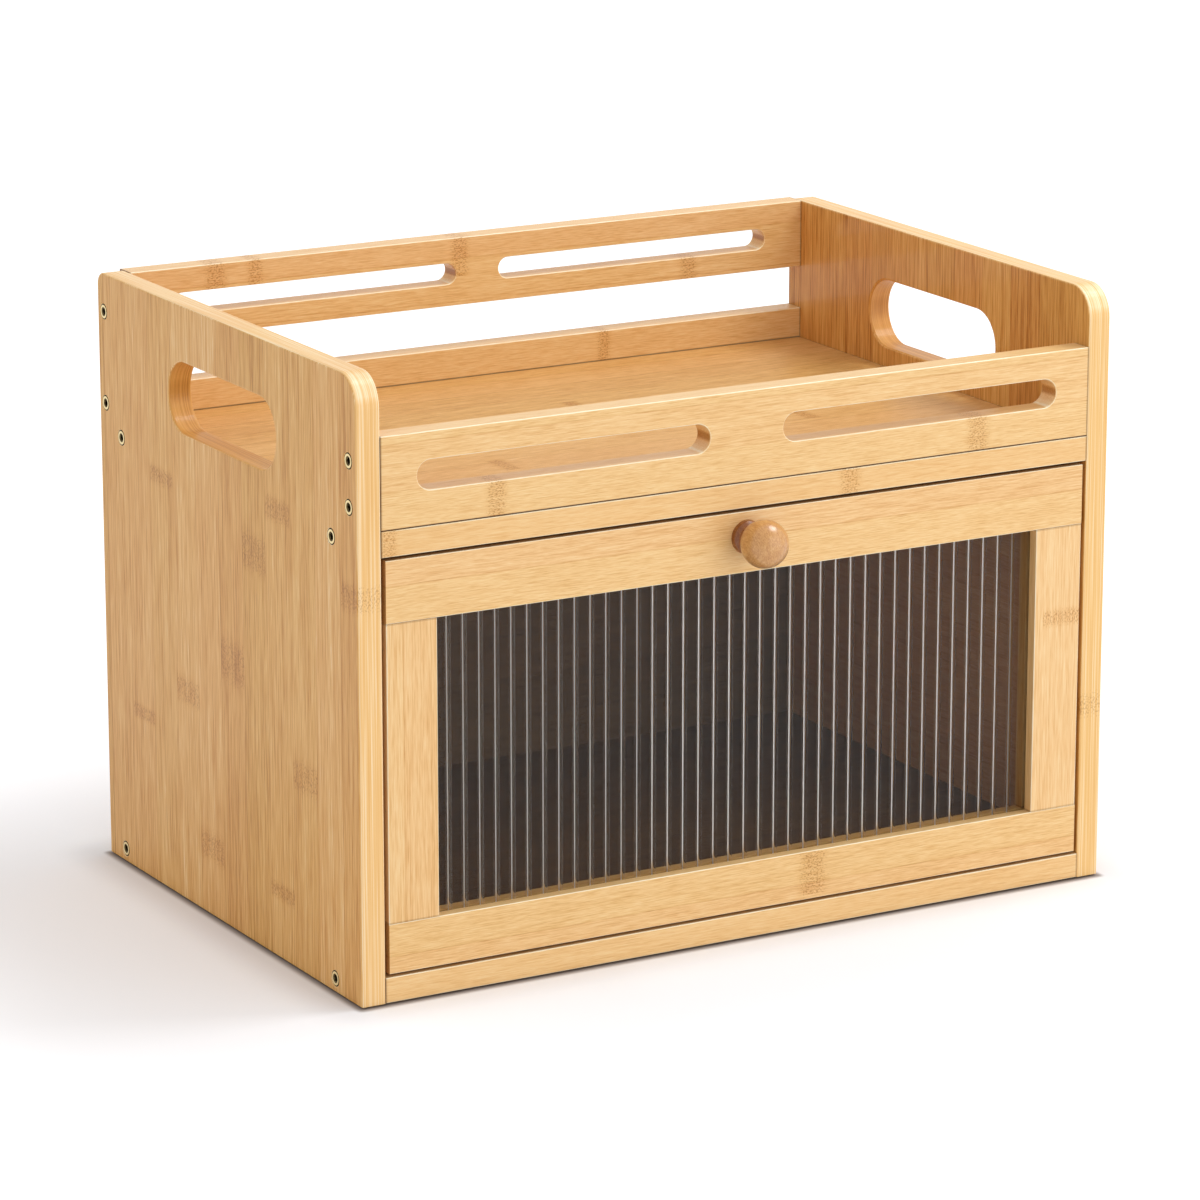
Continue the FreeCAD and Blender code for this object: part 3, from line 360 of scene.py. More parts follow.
def which_way(tree, axes):
    place = add(tree, "ShaderNodeTexCoord")
    facing = add(tree, "ShaderNodeVectorMath", {0: place.outputs["Normal"]}, operation="ABSOLUTE")
    facing = add(tree, "ShaderNodeSeparateXYZ", {0: facing})
    squarest = add(tree, "ShaderNodeMath", {0: facing.outputs[0], 1: facing.outputs[1]}, operation="MAXIMUM")
    squarest = add(tree, "ShaderNodeMath", {0: squarest, 1: facing.outputs[2]}, operation="MAXIMUM")
    through, along = facing.outputs[axes[2]], facing.outputs[axes[0]]
    ways = ((through, FACE_RANGE), (along, CUT_RANGE), (squarest, EASED_RANGE))
    return [add(tree, "ShaderNodeMapRange", {"Value": way, "From Min": none, "From Max": full})
            for way, (none, full) in ways]


print("fibres show as cut from", round(math.degrees(math.asin(CUT_RANGE[0]))), "degrees to the grain")

# %% Step 6: the layers of the board, as fine lines that follow every cut edge
LINE_LENGTH, LINE_WIDTH = 90 * MM, 0.55 * MM


def layer_lines(tree, straight):
    thin = add(tree, "ShaderNodeMapping",
               {"Vector": straight, "Scale": (1 / LINE_LENGTH, 1 / LINE_LENGTH, 1 / LINE_WIDTH)})
    return add(tree, "ShaderNodeTexNoise", {"Vector": thin, "Scale": 1.0, "Detail": 2.0, "Roughness": 0.6})


print("a layer line is about", round(LINE_WIDTH / MM, 2), "mm wide")

# %% Step 7: dark lines where one board meets the next, and painted shade in the gaps
# A line is (axis, place on it, half its width, strength), with lengths in millimetres. Its dark
# colour is partly glue and partly painted shade of the crevice; a line laid over a face seen in a gap
# is painted shade only.
JOINT_CORE = 0.6


def joint_and_gap_shade_lines(tree, joints):
    place = add(tree, "ShaderNodeTexCoord")
    parts = add(tree, "ShaderNodeSeparateXYZ", {0: place.outputs["Object"]})
    dark = None
    for axis, where, width, strength in joints:
        away = add(tree, "ShaderNodeMath", {0: parts.outputs[axis], 1: where * MM}, operation="SUBTRACT")
        away = add(tree, "ShaderNodeMath", {0: away}, operation="ABSOLUTE")
        line = add(tree, "ShaderNodeMapRange", {"Value": away, "From Min": width * MM,
                                                "From Max": width * JOINT_CORE * MM, "To Max": strength})
        if dark:
            line = add(tree, "ShaderNodeMath", {0: line, 1: dark}, operation="MAXIMUM")
        dark = line
    return dark


print("share of a joint line at its full strength:", JOINT_CORE)

# %% Step 8: what a board is like, unless its part says otherwise
# Lengths are in millimetres. The rest are shares of the tone or settings of the lacquer.
BOARD = dict(
    strip=21.5,         # width of one strip
    first=0,            # where one strip begins, counted across the grain
    seed=1.0,           # a different number gives different strips
    drift=0.5,          # how far the grain sways
    sizes=((50, 4.5), (14, 0.5), (6, 0.3)),  # length and width of broad, middle and fine fibres
    weights=(0.18, 0.66, 0.52),  # how much each of them shows
    patchwork=0.08,     # how much the strips differ
    spots=(),           # knuckles
    dots=0.10,          # how dark their dashes are
    # lines where other boards meet this one, partly painted shade, and painted shade in gaps
    joints=(),          # lines where other boards meet this one
    # painted shade: the flat faces are made darker in colour
    shade=0.0,          # darker flat faces
    # partly end grain and partly painted shade on the cut ends
    end_grain_and_shade=0.36,     # darker ends, where the fibres are cut across
    layered=0.25,       # how clearly the cut edges show the layers
    edge=0.0,           # how pale the layers are
    # painted highlight: the eased rims are made paler in colour
    lift=0.42,          # how pale the eased rims are
    # painted shade on the wall of a hand hole
    hand_hole_shade=None,        # a hand hole with a browner wall
    coat=0.2,           # how much lacquer there is
    coat_blur=0.2,      # how soft its reflections are
    shine=0.3,          # how strongly the wood itself reflects
    rough=0.42,         # how rough the wood is
)
print("settings of a board:", len(BOARD))

# %% Step 9: the tone of the strips and fibres
# Where the noise of the middle fibres is high there is a dark streak, and the glue between two strips
# shows as a fine dark line.
STREAKS, STREAK_RANGE = 0.18, (0.60, 0.76)
GLUE, GLUE_RANGE = 0.12, (0.475, 0.495)


def strip_tone(tree, board, cell, chance, noises):
    patchwork = board["patchwork"]
    tone = add(tree, "ShaderNodeMath", {0: chance.outputs[1], 1: patchwork, 2: 0.5 - patchwork / 2},
               operation="MULTIPLY_ADD")
    for noise, weight in zip(noises, board["weights"]):
        centred = add(tree, "ShaderNodeMath", {0: noise, 1: 0.5}, operation="SUBTRACT")
        tone = add(tree, "ShaderNodeMath", {0: centred, 1: weight, 2: tone}, operation="MULTIPLY_ADD")
    streaks = add(tree, "ShaderNodeMapRange", {"Value": noises[1], "From Min": STREAK_RANGE[0],
                                               "From Max": STREAK_RANGE[1]}, interpolation_type="SMOOTHSTEP")
    tone = add(tree, "ShaderNodeMath", {0: streaks, 1: -STREAKS, 2: tone}, operation="MULTIPLY_ADD")
    place = add(tree, "ShaderNodeSeparateXYZ", {0: cell})
    across = add(tree, "ShaderNodeMath", {0: place.outputs["Y"]}, operation="FRACT")
    across = add(tree, "ShaderNodeMath", {0: across, 1: 0.5}, operation="SUBTRACT")
    across = add(tree, "ShaderNodeMath", {0: across}, operation="ABSOLUTE")
    glue = add(tree, "ShaderNodeMapRange", {"Value": across, "From Min": GLUE_RANGE[0],
                                            "From Max": GLUE_RANGE[1], "To Max": GLUE})
    return add(tree, "ShaderNodeMath", {0: tone, 1: glue}, operation="SUBTRACT")


print("a streak takes", STREAKS, "off the tone, and glue takes", GLUE)

# %% Step 10: the tone of faces, cut edges and rims, with a painted highlight on the rims and painted shade on the wall of a hand hole
# A hand hole is (height of its middle, its place across, half its height, half its length), in
# millimetres. Its wall is cut through all layers, and painted shade makes it browner than the rest.
LINE_CONTRAST, LINE_PALENESS = 0.65, 0.175
HAND_HOLE_PAINTED_SHADE = 0.45


def in_hollow(tree, straight, hand_hole_shade):
    up, across, half_height, half_length = [side * MM for side in hand_hole_shade]
    away = add(tree, "ShaderNodeVectorMath", {0: straight, 1: (up, across, 0)}, operation="SUBTRACT")
    away = add(tree, "ShaderNodeVectorMath", {0: away}, operation="ABSOLUTE")
    away = add(tree, "ShaderNodeSeparateXYZ", {0: away})
    level = add(tree, "ShaderNodeMath", {0: away.outputs["X"], 1: half_height}, operation="LESS_THAN")
    beside = add(tree, "ShaderNodeMath", {0: away.outputs["Y"], 1: half_length}, operation="LESS_THAN")
    return add(tree, "ShaderNodeMath", {0: level, 1: beside}, operation="MULTIPLY")


def edge_tone(tree, board, tone, straight, face, ends, eased):
    # Painted shade: flat faces and cut ends are made darker in colour.
    for where, share in ((face, board["shade"]), (ends, board["end_grain_and_shade"])):
        if share:
            tone = add(tree, "ShaderNodeMath", {0: where, 1: -share, 2: tone}, operation="MULTIPLY_ADD")
    lines = layer_lines(tree, straight)
    lines = add(tree, "ShaderNodeMath", {0: lines, 1: LINE_CONTRAST, 2: board["edge"] + LINE_PALENESS},
                operation="MULTIPLY_ADD")
    cut = add(tree, "ShaderNodeMapRange", {"Value": face, "To Min": board["layered"], "To Max": 0.0})
    tone = add(tree, "ShaderNodeMix", {0: cut, 2: tone, 3: lines}, data_type="FLOAT")
    # Painted shade: the wall of the hand hole is darker in colour, for the shade in the hole.
    if board["hand_hole_shade"]:
        wall = in_hollow(tree, straight, board["hand_hole_shade"])
        wall = add(tree, "ShaderNodeMath", {0: wall, 1: cut}, operation="MULTIPLY")
        tone = add(tree, "ShaderNodeMath", {0: wall, 1: -HAND_HOLE_PAINTED_SHADE, 2: tone}, operation="MULTIPLY_ADD")
    # Painted highlight: the eased rims are made paler in colour by lift.
    return add(tree, "ShaderNodeMath", {0: eased, 1: board["lift"], 2: tone}, operation="MULTIPLY_ADD")


# This share of the tone is painted shade on the wall of a hand hole.
print("stain takes", HAND_HOLE_PAINTED_SHADE, "off the wall of a hand hole")

# %% Step 11: colour, gloss and relief, put together under a satin lacquer
# Each strip leans a very little to the red or the yellow. The dashes are golden brown, and the joint
# lines are dark, partly glue and partly painted shade, and take no lacquer. Raised fibres are a little
# smoother, and the relief of fibres and dashes is 0.1 mm deep at most.
STRIP_HUES = (0.497, 0.503)
KNUCKLE_PATCH, KNUCKLE_STAIN, KNUCKLE_COLOUR = 0.08, 0.42, "#9c6122"
JOINT_AND_SHADE_COLOUR = "#46270d"
RELIEF, RELIEF_DEPTH, KNUCKLE_RELIEF = 0.3, 0.10 * MM, 0.8
FIBRE_ROUGHNESS = 0.16
WOOD_IOR = 1.5


def bamboo(name, axes, tones, **changes):
    board = {**BOARD, **changes}
    strip, coat = board["strip"] * MM, board["coat"]
    finish, tree = new_finish(name)
    straight, grain = grain_space(tree, axes, board["drift"] * MM)
    cell, chance = strip_chance(tree, straight, strip, board["first"] * MM, board["seed"])
    noises = fibres(tree, grain, chance, board["sizes"])
    tone = strip_tone(tree, board, cell, chance, noises)
    height = add(tree, "ShaderNodeMath", {0: noises[2], 1: 0.5, 2: noises[1]}, operation="MULTIPLY_ADD")
    if board["spots"]:
        patches = knuckle_patches(tree, straight, board["spots"], strip)
        dashes = knuckle_dashes(tree, straight, patches)
        marks = add(tree, "ShaderNodeMath", {0: patches, 1: KNUCKLE_PATCH}, operation="MULTIPLY")
        marks = add(tree, "ShaderNodeMath", {0: dashes, 1: board["dots"], 2: marks}, operation="MULTIPLY_ADD")
        tone = add(tree, "ShaderNodeMath", {0: tone, 1: marks}, operation="SUBTRACT")
        height = add(tree, "ShaderNodeMath", {0: marks, 1: -KNUCKLE_RELIEF, 2: height},
                     operation="MULTIPLY_ADD")
    tone = edge_tone(tree, board, tone, straight, *which_way(tree, axes))

    ramp = add(tree, "ShaderNodeValToRGB", {0: tone})
    set_stops(ramp, tones)
    hue = add(tree, "ShaderNodeMapRange", {"Value": chance.outputs[0], "To Min": STRIP_HUES[0],
                                           "To Max": STRIP_HUES[1]})
    colour = add(tree, "ShaderNodeHueSaturation", {"Hue": hue, "Color": ramp})
    if board["spots"]:
        stain = add(tree, "ShaderNodeMath", {0: dashes, 1: KNUCKLE_STAIN}, operation="MULTIPLY")
        stained = add(tree, "ShaderNodeMix", {0: stain, 6: colour, 7: linear(KNUCKLE_COLOUR)},
                      data_type="RGBA")
        colour = stained.outputs[2]
    if board["joints"]:
        dark = joint_and_gap_shade_lines(tree, board["joints"])
        joined = add(tree, "ShaderNodeMix", {0: dark, 6: colour, 7: linear(JOINT_AND_SHADE_COLOUR)}, data_type="RGBA")
        colour = joined.outputs[2]
    if board["joints"] and coat:
        clear = add(tree, "ShaderNodeMath", {0: 1.0, 1: dark}, operation="SUBTRACT")
        coat = add(tree, "ShaderNodeMath", {0: clear, 1: coat}, operation="MULTIPLY")
    rough = add(tree, "ShaderNodeMath", {0: noises[1], 1: -FIBRE_ROUGHNESS,
                                         2: board["rough"] + FIBRE_ROUGHNESS / 2}, operation="MULTIPLY_ADD")
    relief = add(tree, "ShaderNodeBump", {"Height": height, "Strength": RELIEF, "Distance": RELIEF_DEPTH})
    skin = add(tree, "ShaderNodeBsdfPrincipled", {
        "Base Color": colour, "Roughness": rough, "Normal": relief, "IOR": WOOD_IOR,
        "Specular IOR Level": board["shine"], "Coat Weight": coat, "Coat Roughness": board["coat_blur"]})
    add(tree, "ShaderNodeOutputMaterial", {"Surface": skin})
    return finish


print("the relief is at most", round(RELIEF_DEPTH / MM, 2), "mm deep")

# %% [markdown]
# ## The boards of this box
# Every bamboo part is one such board with its own grain direction, strips and marks. The side panels
# have wide upright strips, the rails and shelves run along the width, and the drawer has upright
# stiles between its two rails. Their tones go from the darkest fibre to the palest edge.

# %% The tones, and the ways that the grain can run
# The side panels' tones are darker than the boards', partly a deeper colour of their own and partly painted
# shade on their faces, while edge keeps their cut edges pale.
SIDE_AND_SHADE_TONES = ((0.05, "#a26522"), (0.32, "#cf944a"), (0.50, "#dfa95f"), (0.68, "#ecbe7a"), (0.95, "#ffefcc"))
BOARD_TONES = ((0.05, "#b47a39"), (0.32, "#daa867"), (0.50, "#eabf83"), (0.68, "#f0cf99"), (0.95, "#f8ebcc"))
CARBON_AND_SHADE_TONES = ((0.05, "#352311"), (0.32, "#584025"), (0.50, "#6c5030"), (0.68, "#82623b"), (0.95, "#a88354"))
BOX_TONES = ((0.05, "#9a6529"), (0.32, "#c78a48"), (0.50, "#d69c5c"), (0.68, "#e2af74"), (0.95, "#f6d5a4"))
BACK_TONES = ((0.05, "#8a6236"), (0.32, "#b98a55"), (0.50, "#c99b66"), (0.68, "#d8b07e"), (0.95, "#efd3a6"))
# Each gives the axes along the grain, across it and through the board, with 0, 1, 2 for X, Y, Z.
ALONG_X, ALONG_X_FLAT, ALONG_Y = (0, 2, 1), (0, 1, 2), (1, 2, 0)
UPRIGHT_SIDE, UPRIGHT_FRONT = (2, 1, 0), (2, 0, 1)
FINISHES = {}
print("tones of a board:", len(BOARD_TONES))

# %% The two side panels: upright strips 24.7 mm wide, with layers that show on their edges
# The right panel gets more painted shade on its faces than the left, for the shade on its inner face
# in the tray. Its knuckles are those of the left one turned upside down, so that a height becomes this
# many millimetres less the height.
UPSIDE_DOWN = 275
SIDE = dict(axes=UPRIGHT_SIDE, tones=SIDE_AND_SHADE_TONES, strip=24.7, first=5.4, drift=0.2, patchwork=0.14,
            sizes=((150, 6), (46, 0.85), (15, 0.48)), weights=(0.36, 0.94, 0.70), dots=0.07, end_grain_and_shade=0.0,
            layered=1.0, edge=0.20, lift=0.10, hand_hole_shade=(246, 1, 17.6, 57.1), shine=0.2, coat=0.16,
            coat_blur=0.1)
LEFT_SPOTS = ((203, 67, 5), (213, -56, 7), (188, -31, 11), (130, -7, 13), (104, 42, 8), (81, 92, 4.5),
              (93, -81, 9), (34, 18, 9), (32, -56, 5), (189, -131, 8))
RIGHT_SPOTS = [(UPSIDE_DOWN - up, across, half) for up, across, half in LEFT_SPOTS]
# Both panels get painted shade on their flat faces, the right one more.
for part, seed, spots, shade in (("left", 3, LEFT_SPOTS, 0.02), ("right", 8, RIGHT_SPOTS, 0.12)):
    FINISHES[part + "_side_panel"] = bamboo(f"laminated_bamboo_{part}_side", seed=seed, spots=spots,
                                            shade=shade, **SIDE)
print("knuckles on each side panel:", len(LEFT_SPOTS))

# %% The boards with their grain along the width
# The rails and shelves of the case meet the side panels at both ends. The tray's floor has the
# thinnest lacquer, and painted shade on its faces for the shade inside the tray. The ends of the
# case's boards are darker than those of the drawer's rails: end grain, with painted shade for the
# end walls of the slots.
SIDE_JOINTS_AND_SHADE = ((0, -188, 0.7, 0.5), (0, 188, 0.7, 0.5))
# The line at 12 mm covers the base's top face: painted shade in the gap under the drawer.
BASE_JOINTS_AND_GAP_SHADE = ((0, -188, 0.7, 0.4), (0, 188, 0.7, 0.4), (2, 12, 0.25, 0.25))
CASE_ENDS, DRAWER_ENDS = 0.56, 0.36
BOARDS = {
    "base_panel": dict(axes=ALONG_X_FLAT, spots=((-66, -70, 5), (110, 20, 5), (-20, 95, 5)),
                       joints=BASE_JOINTS_AND_GAP_SHADE, end_grain_and_shade=CASE_ENDS),
    "shelf_panel": dict(axes=ALONG_X_FLAT, spots=((-184, -135, 5), (56, -135, 7), (-80, -50, 5), (96, -28, 5),
                                                  (10, 40, 5), (-120, 84, 5)),
                        joints=SIDE_JOINTS_AND_SHADE, end_grain_and_shade=CASE_ENDS, shade=0.2, coat=0.0, shine=0.15),
    "front_gallery_rail": dict(axes=ALONG_X, spots=((-130, 228, 6), (126, 228, 7)),
                               joints=SIDE_JOINTS_AND_SHADE + ((2, 219, 0.8, 1.0),), end_grain_and_shade=CASE_ENDS),
    "upper_back_rail": dict(axes=ALONG_X, spots=((-143, 282, 7), (-122, 284, 5), (-9.7, 281, 6),
                                                 (121, 262, 6)), joints=SIDE_JOINTS_AND_SHADE, end_grain_and_shade=CASE_ENDS),
    "lower_back_rail": dict(axes=ALONG_X, spots=((72, 227, 4.5),), joints=SIDE_JOINTS_AND_SHADE + ((2, 219, 0.9, 0.6),),
                            end_grain_and_shade=CASE_ENDS),
    # Its line at 205.5 mm covers the top face of this rail: painted shade in the gap under the shelf.
    "drawer_top_rail": dict(axes=ALONG_X, joints=((2, 205.5, 0.2, 0.45),), end_grain_and_shade=DRAWER_ENDS),
    "drawer_bottom_rail": dict(axes=ALONG_X, spots=((38, 26, 9),), end_grain_and_shade=DRAWER_ENDS),
}
for number, (part, board) in enumerate(BOARDS.items()):
    FINISHES[part] = bamboo("laminated_bamboo_" + part, tones=BOARD_TONES, seed=11 + number, **board)
print("boards along the width:", len(BOARDS))

# %% The stiles of the drawer, each one strip wide
# They end between the two rails, so the joints are where the rails begin.
STILE = dict(axes=UPRIGHT_FRONT, tones=BOARD_TONES, strip=26, first=160.4, drift=0.3,
             sizes=((90, 6), (30, 0.8), (10, 0.42)), joints=((2, 37, 0.9, 0.3), (2, 176.5, 0.9, 0.3)))
for part, seed, spots in (("drawer_left_stile", 31, ()), ("drawer_right_stile", 32, ((132, 178, 5),))):
    FINISHES[part] = bamboo("laminated_bamboo_" + part, seed=seed, spots=spots, **STILE)

# %% The drawer's sides, its back and bottom of carbonised bamboo, and the back of the case
# Steaming under pressure turns the sugar in bamboo brown, which makers use for the parts inside.
# Here the dark tone of the drawer's back and bottom is also painted shade, for the shade inside the
# closed drawer.
# None of these is lacquered more than once, so they are matt.
SIDE_SPOTS = ((-40, 90, 5), (60, 140, 5))
for part, seed in (("drawer_left_side", 41), ("drawer_right_side", 42)):
    FINISHES[part] = bamboo("thin_lacquered_bamboo_" + part, ALONG_Y, BOX_TONES, seed=seed, spots=SIDE_SPOTS,
                            coat=0.0, rough=0.55)
FINISHES["drawer_back"] = bamboo("carbonised_bamboo_painted_shade_drawer_back", ALONG_X, CARBON_AND_SHADE_TONES, seed=51,
                                 spots=((-60, 100, 5), (90, 60, 5)), coat=0.0, rough=0.6)
FINISHES["drawer_bottom"] = bamboo("carbonised_bamboo_painted_shade_drawer_bottom", ALONG_X_FLAT, CARBON_AND_SHADE_TONES, seed=52,
                                   spots=((40, -20, 5),), coat=0.0, rough=0.6)
FINISHES["back_panel"] = bamboo("bamboo_plywood_back", UPRIGHT_FRONT, BACK_TONES, strip=40, seed=53,
                                coat=0.0, rough=0.55)
print("bamboo finishes:", len(FINISHES))

# %% [markdown]
# ## The knob
# The knob is turned from solid bamboo, dyed slightly darker and dipped in gloss lacquer. Turning cuts
# through the fibres at every angle, so the ball shows fine specks in the middle and short lines
# towards its sides. The strips of the boards would look too coarse here, so the knob gets a pattern
# of its own: noise in two sizes, drawn out along the axis of the knob. The polishing wheel doesn't
# reach the neck and foot, so they have less gloss than the ball, and painted shade makes them browner,
# for the shade that falls behind the ball.

# %% Turned bamboo
# Each pattern is its size along X, Y and Z in millimetres, and how much it shows. The ball ends and
# the foot starts at these places along Y, where the front of the drawer is at -135 mm.
SPECKS = (((0.32, 2.0, 0.9), 0.55), ((1.2, 7.0, 3.0), 0.40))
KNOB_TONES = ((0.10, "#7f430e"), (0.40, "#b67a3c"), (0.55, "#cc9654"), (0.80, "#e6bd86"))
BALL_END, FOOT_START = -148 * MM, -141 * MM
FOOT_PAINTED_SHADE = 0.34
BALL_COAT, FOOT_COAT = 0.9, 0.15


def turned_bamboo(name):
    finish, tree = new_finish(name)
    place = add(tree, "ShaderNodeTexCoord")
    tone = 0.5
    for size, weight in SPECKS:
        spread = add(tree, "ShaderNodeMapping", {"Vector": place.outputs["Object"],
                                                 "Scale": [1 / (side * MM) for side in size]})
        specks = add(tree, "ShaderNodeTexNoise", {"Vector": spread, "Scale": 1.0, "Detail": 3.0,
                                                  "Roughness": 0.65, "Distortion": 0.6})
        centred = add(tree, "ShaderNodeMath", {0: specks, 1: 0.5}, operation="SUBTRACT")
        tone = add(tree, "ShaderNodeMath", {0: centred, 1: weight, 2: tone}, operation="MULTIPLY_ADD")
    depth = add(tree, "ShaderNodeSeparateXYZ", {0: place.outputs["Object"]})
    foot = add(tree, "ShaderNodeMapRange", {"Value": depth.outputs["Y"], "From Min": BALL_END,
                                            "From Max": FOOT_START})
    # Painted shade: the neck and foot are darker in colour, for the shade behind the ball.
    tone = add(tree, "ShaderNodeMath", {0: foot, 1: -FOOT_PAINTED_SHADE, 2: tone}, operation="MULTIPLY_ADD")
    coat = add(tree, "ShaderNodeMapRange", {"Value": foot, "To Min": BALL_COAT, "To Max": FOOT_COAT})
    ramp = add(tree, "ShaderNodeValToRGB", {0: tone})
    set_stops(ramp, KNOB_TONES)
    skin = add(tree, "ShaderNodeBsdfPrincipled", {
        "Base Color": ramp, "Roughness": 0.32, "Specular IOR Level": 0.45, "Coat Weight": coat,
        "Coat Roughness": 0.24})
    add(tree, "ShaderNodeOutputMaterial", {"Surface": skin})
    return finish


FINISHES["knob"] = turned_bamboo("turned_bamboo_gloss")

# %% [markdown]
# ## Beech dowels and zinc plated screws
# These are hidden when the box is assembled, but they still get the look of the real thing. Beech is
# pale and even with short flecks, so it is a board with short, fine fibres and no lacquer. Zinc
# plating is a cool grey metal, slightly mottled.

# %% Beech
BEECH_TONES = ((0.05, "#a87c4e"), (0.50, "#d6ae7c"), (0.95, "#ecd2a8"))
BEECH_SIZES = ((20, 3), (4, 0.5), (2, 0.3))
for part in ("upper_rail_dowels", "frame_dowels", "drawer_side_dowels"):
    FINISHES[part] = bamboo("beech_" + part, ALONG_X, BEECH_TONES, seed=71, sizes=BEECH_SIZES, coat=0.0,
                            rough=0.6)
print("shortest flecks of the beech in mm:", BEECH_SIZES[-1][0])

# %% Zinc plated steel
ZINC_DARK, ZINC_LIGHT = "#9a9a98", "#c6c6c2"
ZINC_MOTTLE = 0.8 * MM


def zinc_plated(name):
    finish, tree = new_finish(name)
    place = add(tree, "ShaderNodeTexCoord")
    noise = add(tree, "ShaderNodeTexNoise", {"Vector": place.outputs["Object"], "Scale": 1 / ZINC_MOTTLE,
                                             "Detail": 3.0})
    colour = add(tree, "ShaderNodeMix", {0: noise, 6: linear(ZINC_DARK), 7: linear(ZINC_LIGHT)},
                 data_type="RGBA")
    skin = add(tree, "ShaderNodeBsdfPrincipled", {"Base Color": colour.outputs[2], "Metallic": 1.0,
                                                   "Roughness": 0.35})
    add(tree, "ShaderNodeOutputMaterial", {"Surface": skin})
    return finish


for part in ("drawer_back_screws", "knob_screw"):
    FINISHES[part] = zinc_plated("zinc_plated_steel_" + part)
print("finishes so far:", len(FINISHES))

# %% [markdown]
# ## Growing pieces with Geometry Nodes
# What repeats is best made by a rule: say once how one piece looks and where the copies go. The next
# function runs such a tree. It gives the tree its sizes by the name of each input, takes the finished
# shape as a plain mesh, and removes the modifier, so that what stays is an ordinary piece.

# %% Run a Geometry Nodes tree and keep its result as a plain mesh
def new_tree(name, inputs):
    tree = bpy.data.node_groups.new(name, "GeometryNodeTree")
    for label, kind in (("Geometry", "Geometry"),) + inputs:
        tree.interface.new_socket(name=label, in_out="INPUT", socket_type="NodeSocket" + kind)
    tree.interface.new_socket(name="Geometry", in_out="OUTPUT", socket_type="NodeSocketGeometry")
    return tree, tree.nodes.new("NodeGroupInput")


def grow(name, mesh, tree, values):
    piece = bpy.data.objects.new(name, mesh)
    bpy.context.scene.collection.objects.link(piece)
    modifier = piece.modifiers.new(name, "NODES")
    modifier.node_group = tree
    for item in tree.interface.items_tree:
        if item.in_out == "INPUT" and item.name in values:
            modifier[item.identifier] = values[item.name]
    bpy.context.view_layer.update()
    graph = bpy.context.evaluated_depsgraph_get()
    grown = bpy.data.meshes.new_from_object(piece.evaluated_get(graph), depsgraph=graph)
    piece.modifiers.clear()
    piece.data = grown
    print(name, "has", len(grown.polygons), "faces")
    return piece


# %% [markdown]
# ## The window pane
# The pane is extruded acrylic: a flat sheet 2.5 mm thick with 38 thin upright beads on its outer
# face, 8.2 mm apart. The CAD part has plain bevelled ribs. A real die leaves them round, and the round
# shoulders catch the light as two fine lines on each rib; here they are faintly frosted, a painted
# highlight that draws these lines. One bead could be modelled and copied, but then its foot would
# have to be joined to the sheet. A fine grid with a rule for its height makes sheet and beads in one,
# and the rule also marks the shoulders for the material.

# %% Clear acrylic, faintly frosted on the shoulders of the beads as a painted highlight
# The frost takes away some of the clearness, and its pale share is a painted highlight that draws the
# lines on the beads; it also makes the surface rougher. Light that only passes through on its way to
# the drawer isn't bent, so that the inside is lit evenly.
CLEARNESS, ROUGHNESS = (1.0, 0.75), (0.03, 0.45)
ACRYLIC_IOR = 1.49
acrylic, tree = new_finish("clear_extruded_acrylic")
path = add(tree, "ShaderNodeLightPath")
frost_and_highlight = add(tree, "ShaderNodeAttribute", attribute_name="shoulder").outputs["Fac"]
clear = add(tree, "ShaderNodeMapRange", {"Value": frost_and_highlight, "To Min": CLEARNESS[0], "To Max": CLEARNESS[1]})
rough = add(tree, "ShaderNodeMapRange", {"Value": frost_and_highlight, "To Min": ROUGHNESS[0], "To Max": ROUGHNESS[1]})
skin = add(tree, "ShaderNodeBsdfPrincipled", {
    "Base Color": linear("#e6e1da"), "Roughness": rough, "IOR": ACRYLIC_IOR, "Specular IOR Level": 0.25,
    "Specular Tint": (0.25, 0.25, 0.25, 1.0), "Transmission Weight": clear})
open_air = add(tree, "ShaderNodeBsdfTransparent", {"Color": linear("#f7f5f2")})
both = add(tree, "ShaderNodeMixShader", {0: path.outputs["Is Shadow Ray"], 1: skin, 2: open_air})
add(tree, "ShaderNodeOutputMaterial", {"Surface": both})
print("clearness on the flat and on the shoulders:", CLEARNESS)

# %% The rule for the beads
# The share is the distance from the middle of the nearest bead, over half the bead's width. One less
# its cube is a rounded top with steep sides. The shoulder is the strip round a share of 0.84.
SHOULDER, SHOULDER_FADE = 0.84, (0.18, 0.08)


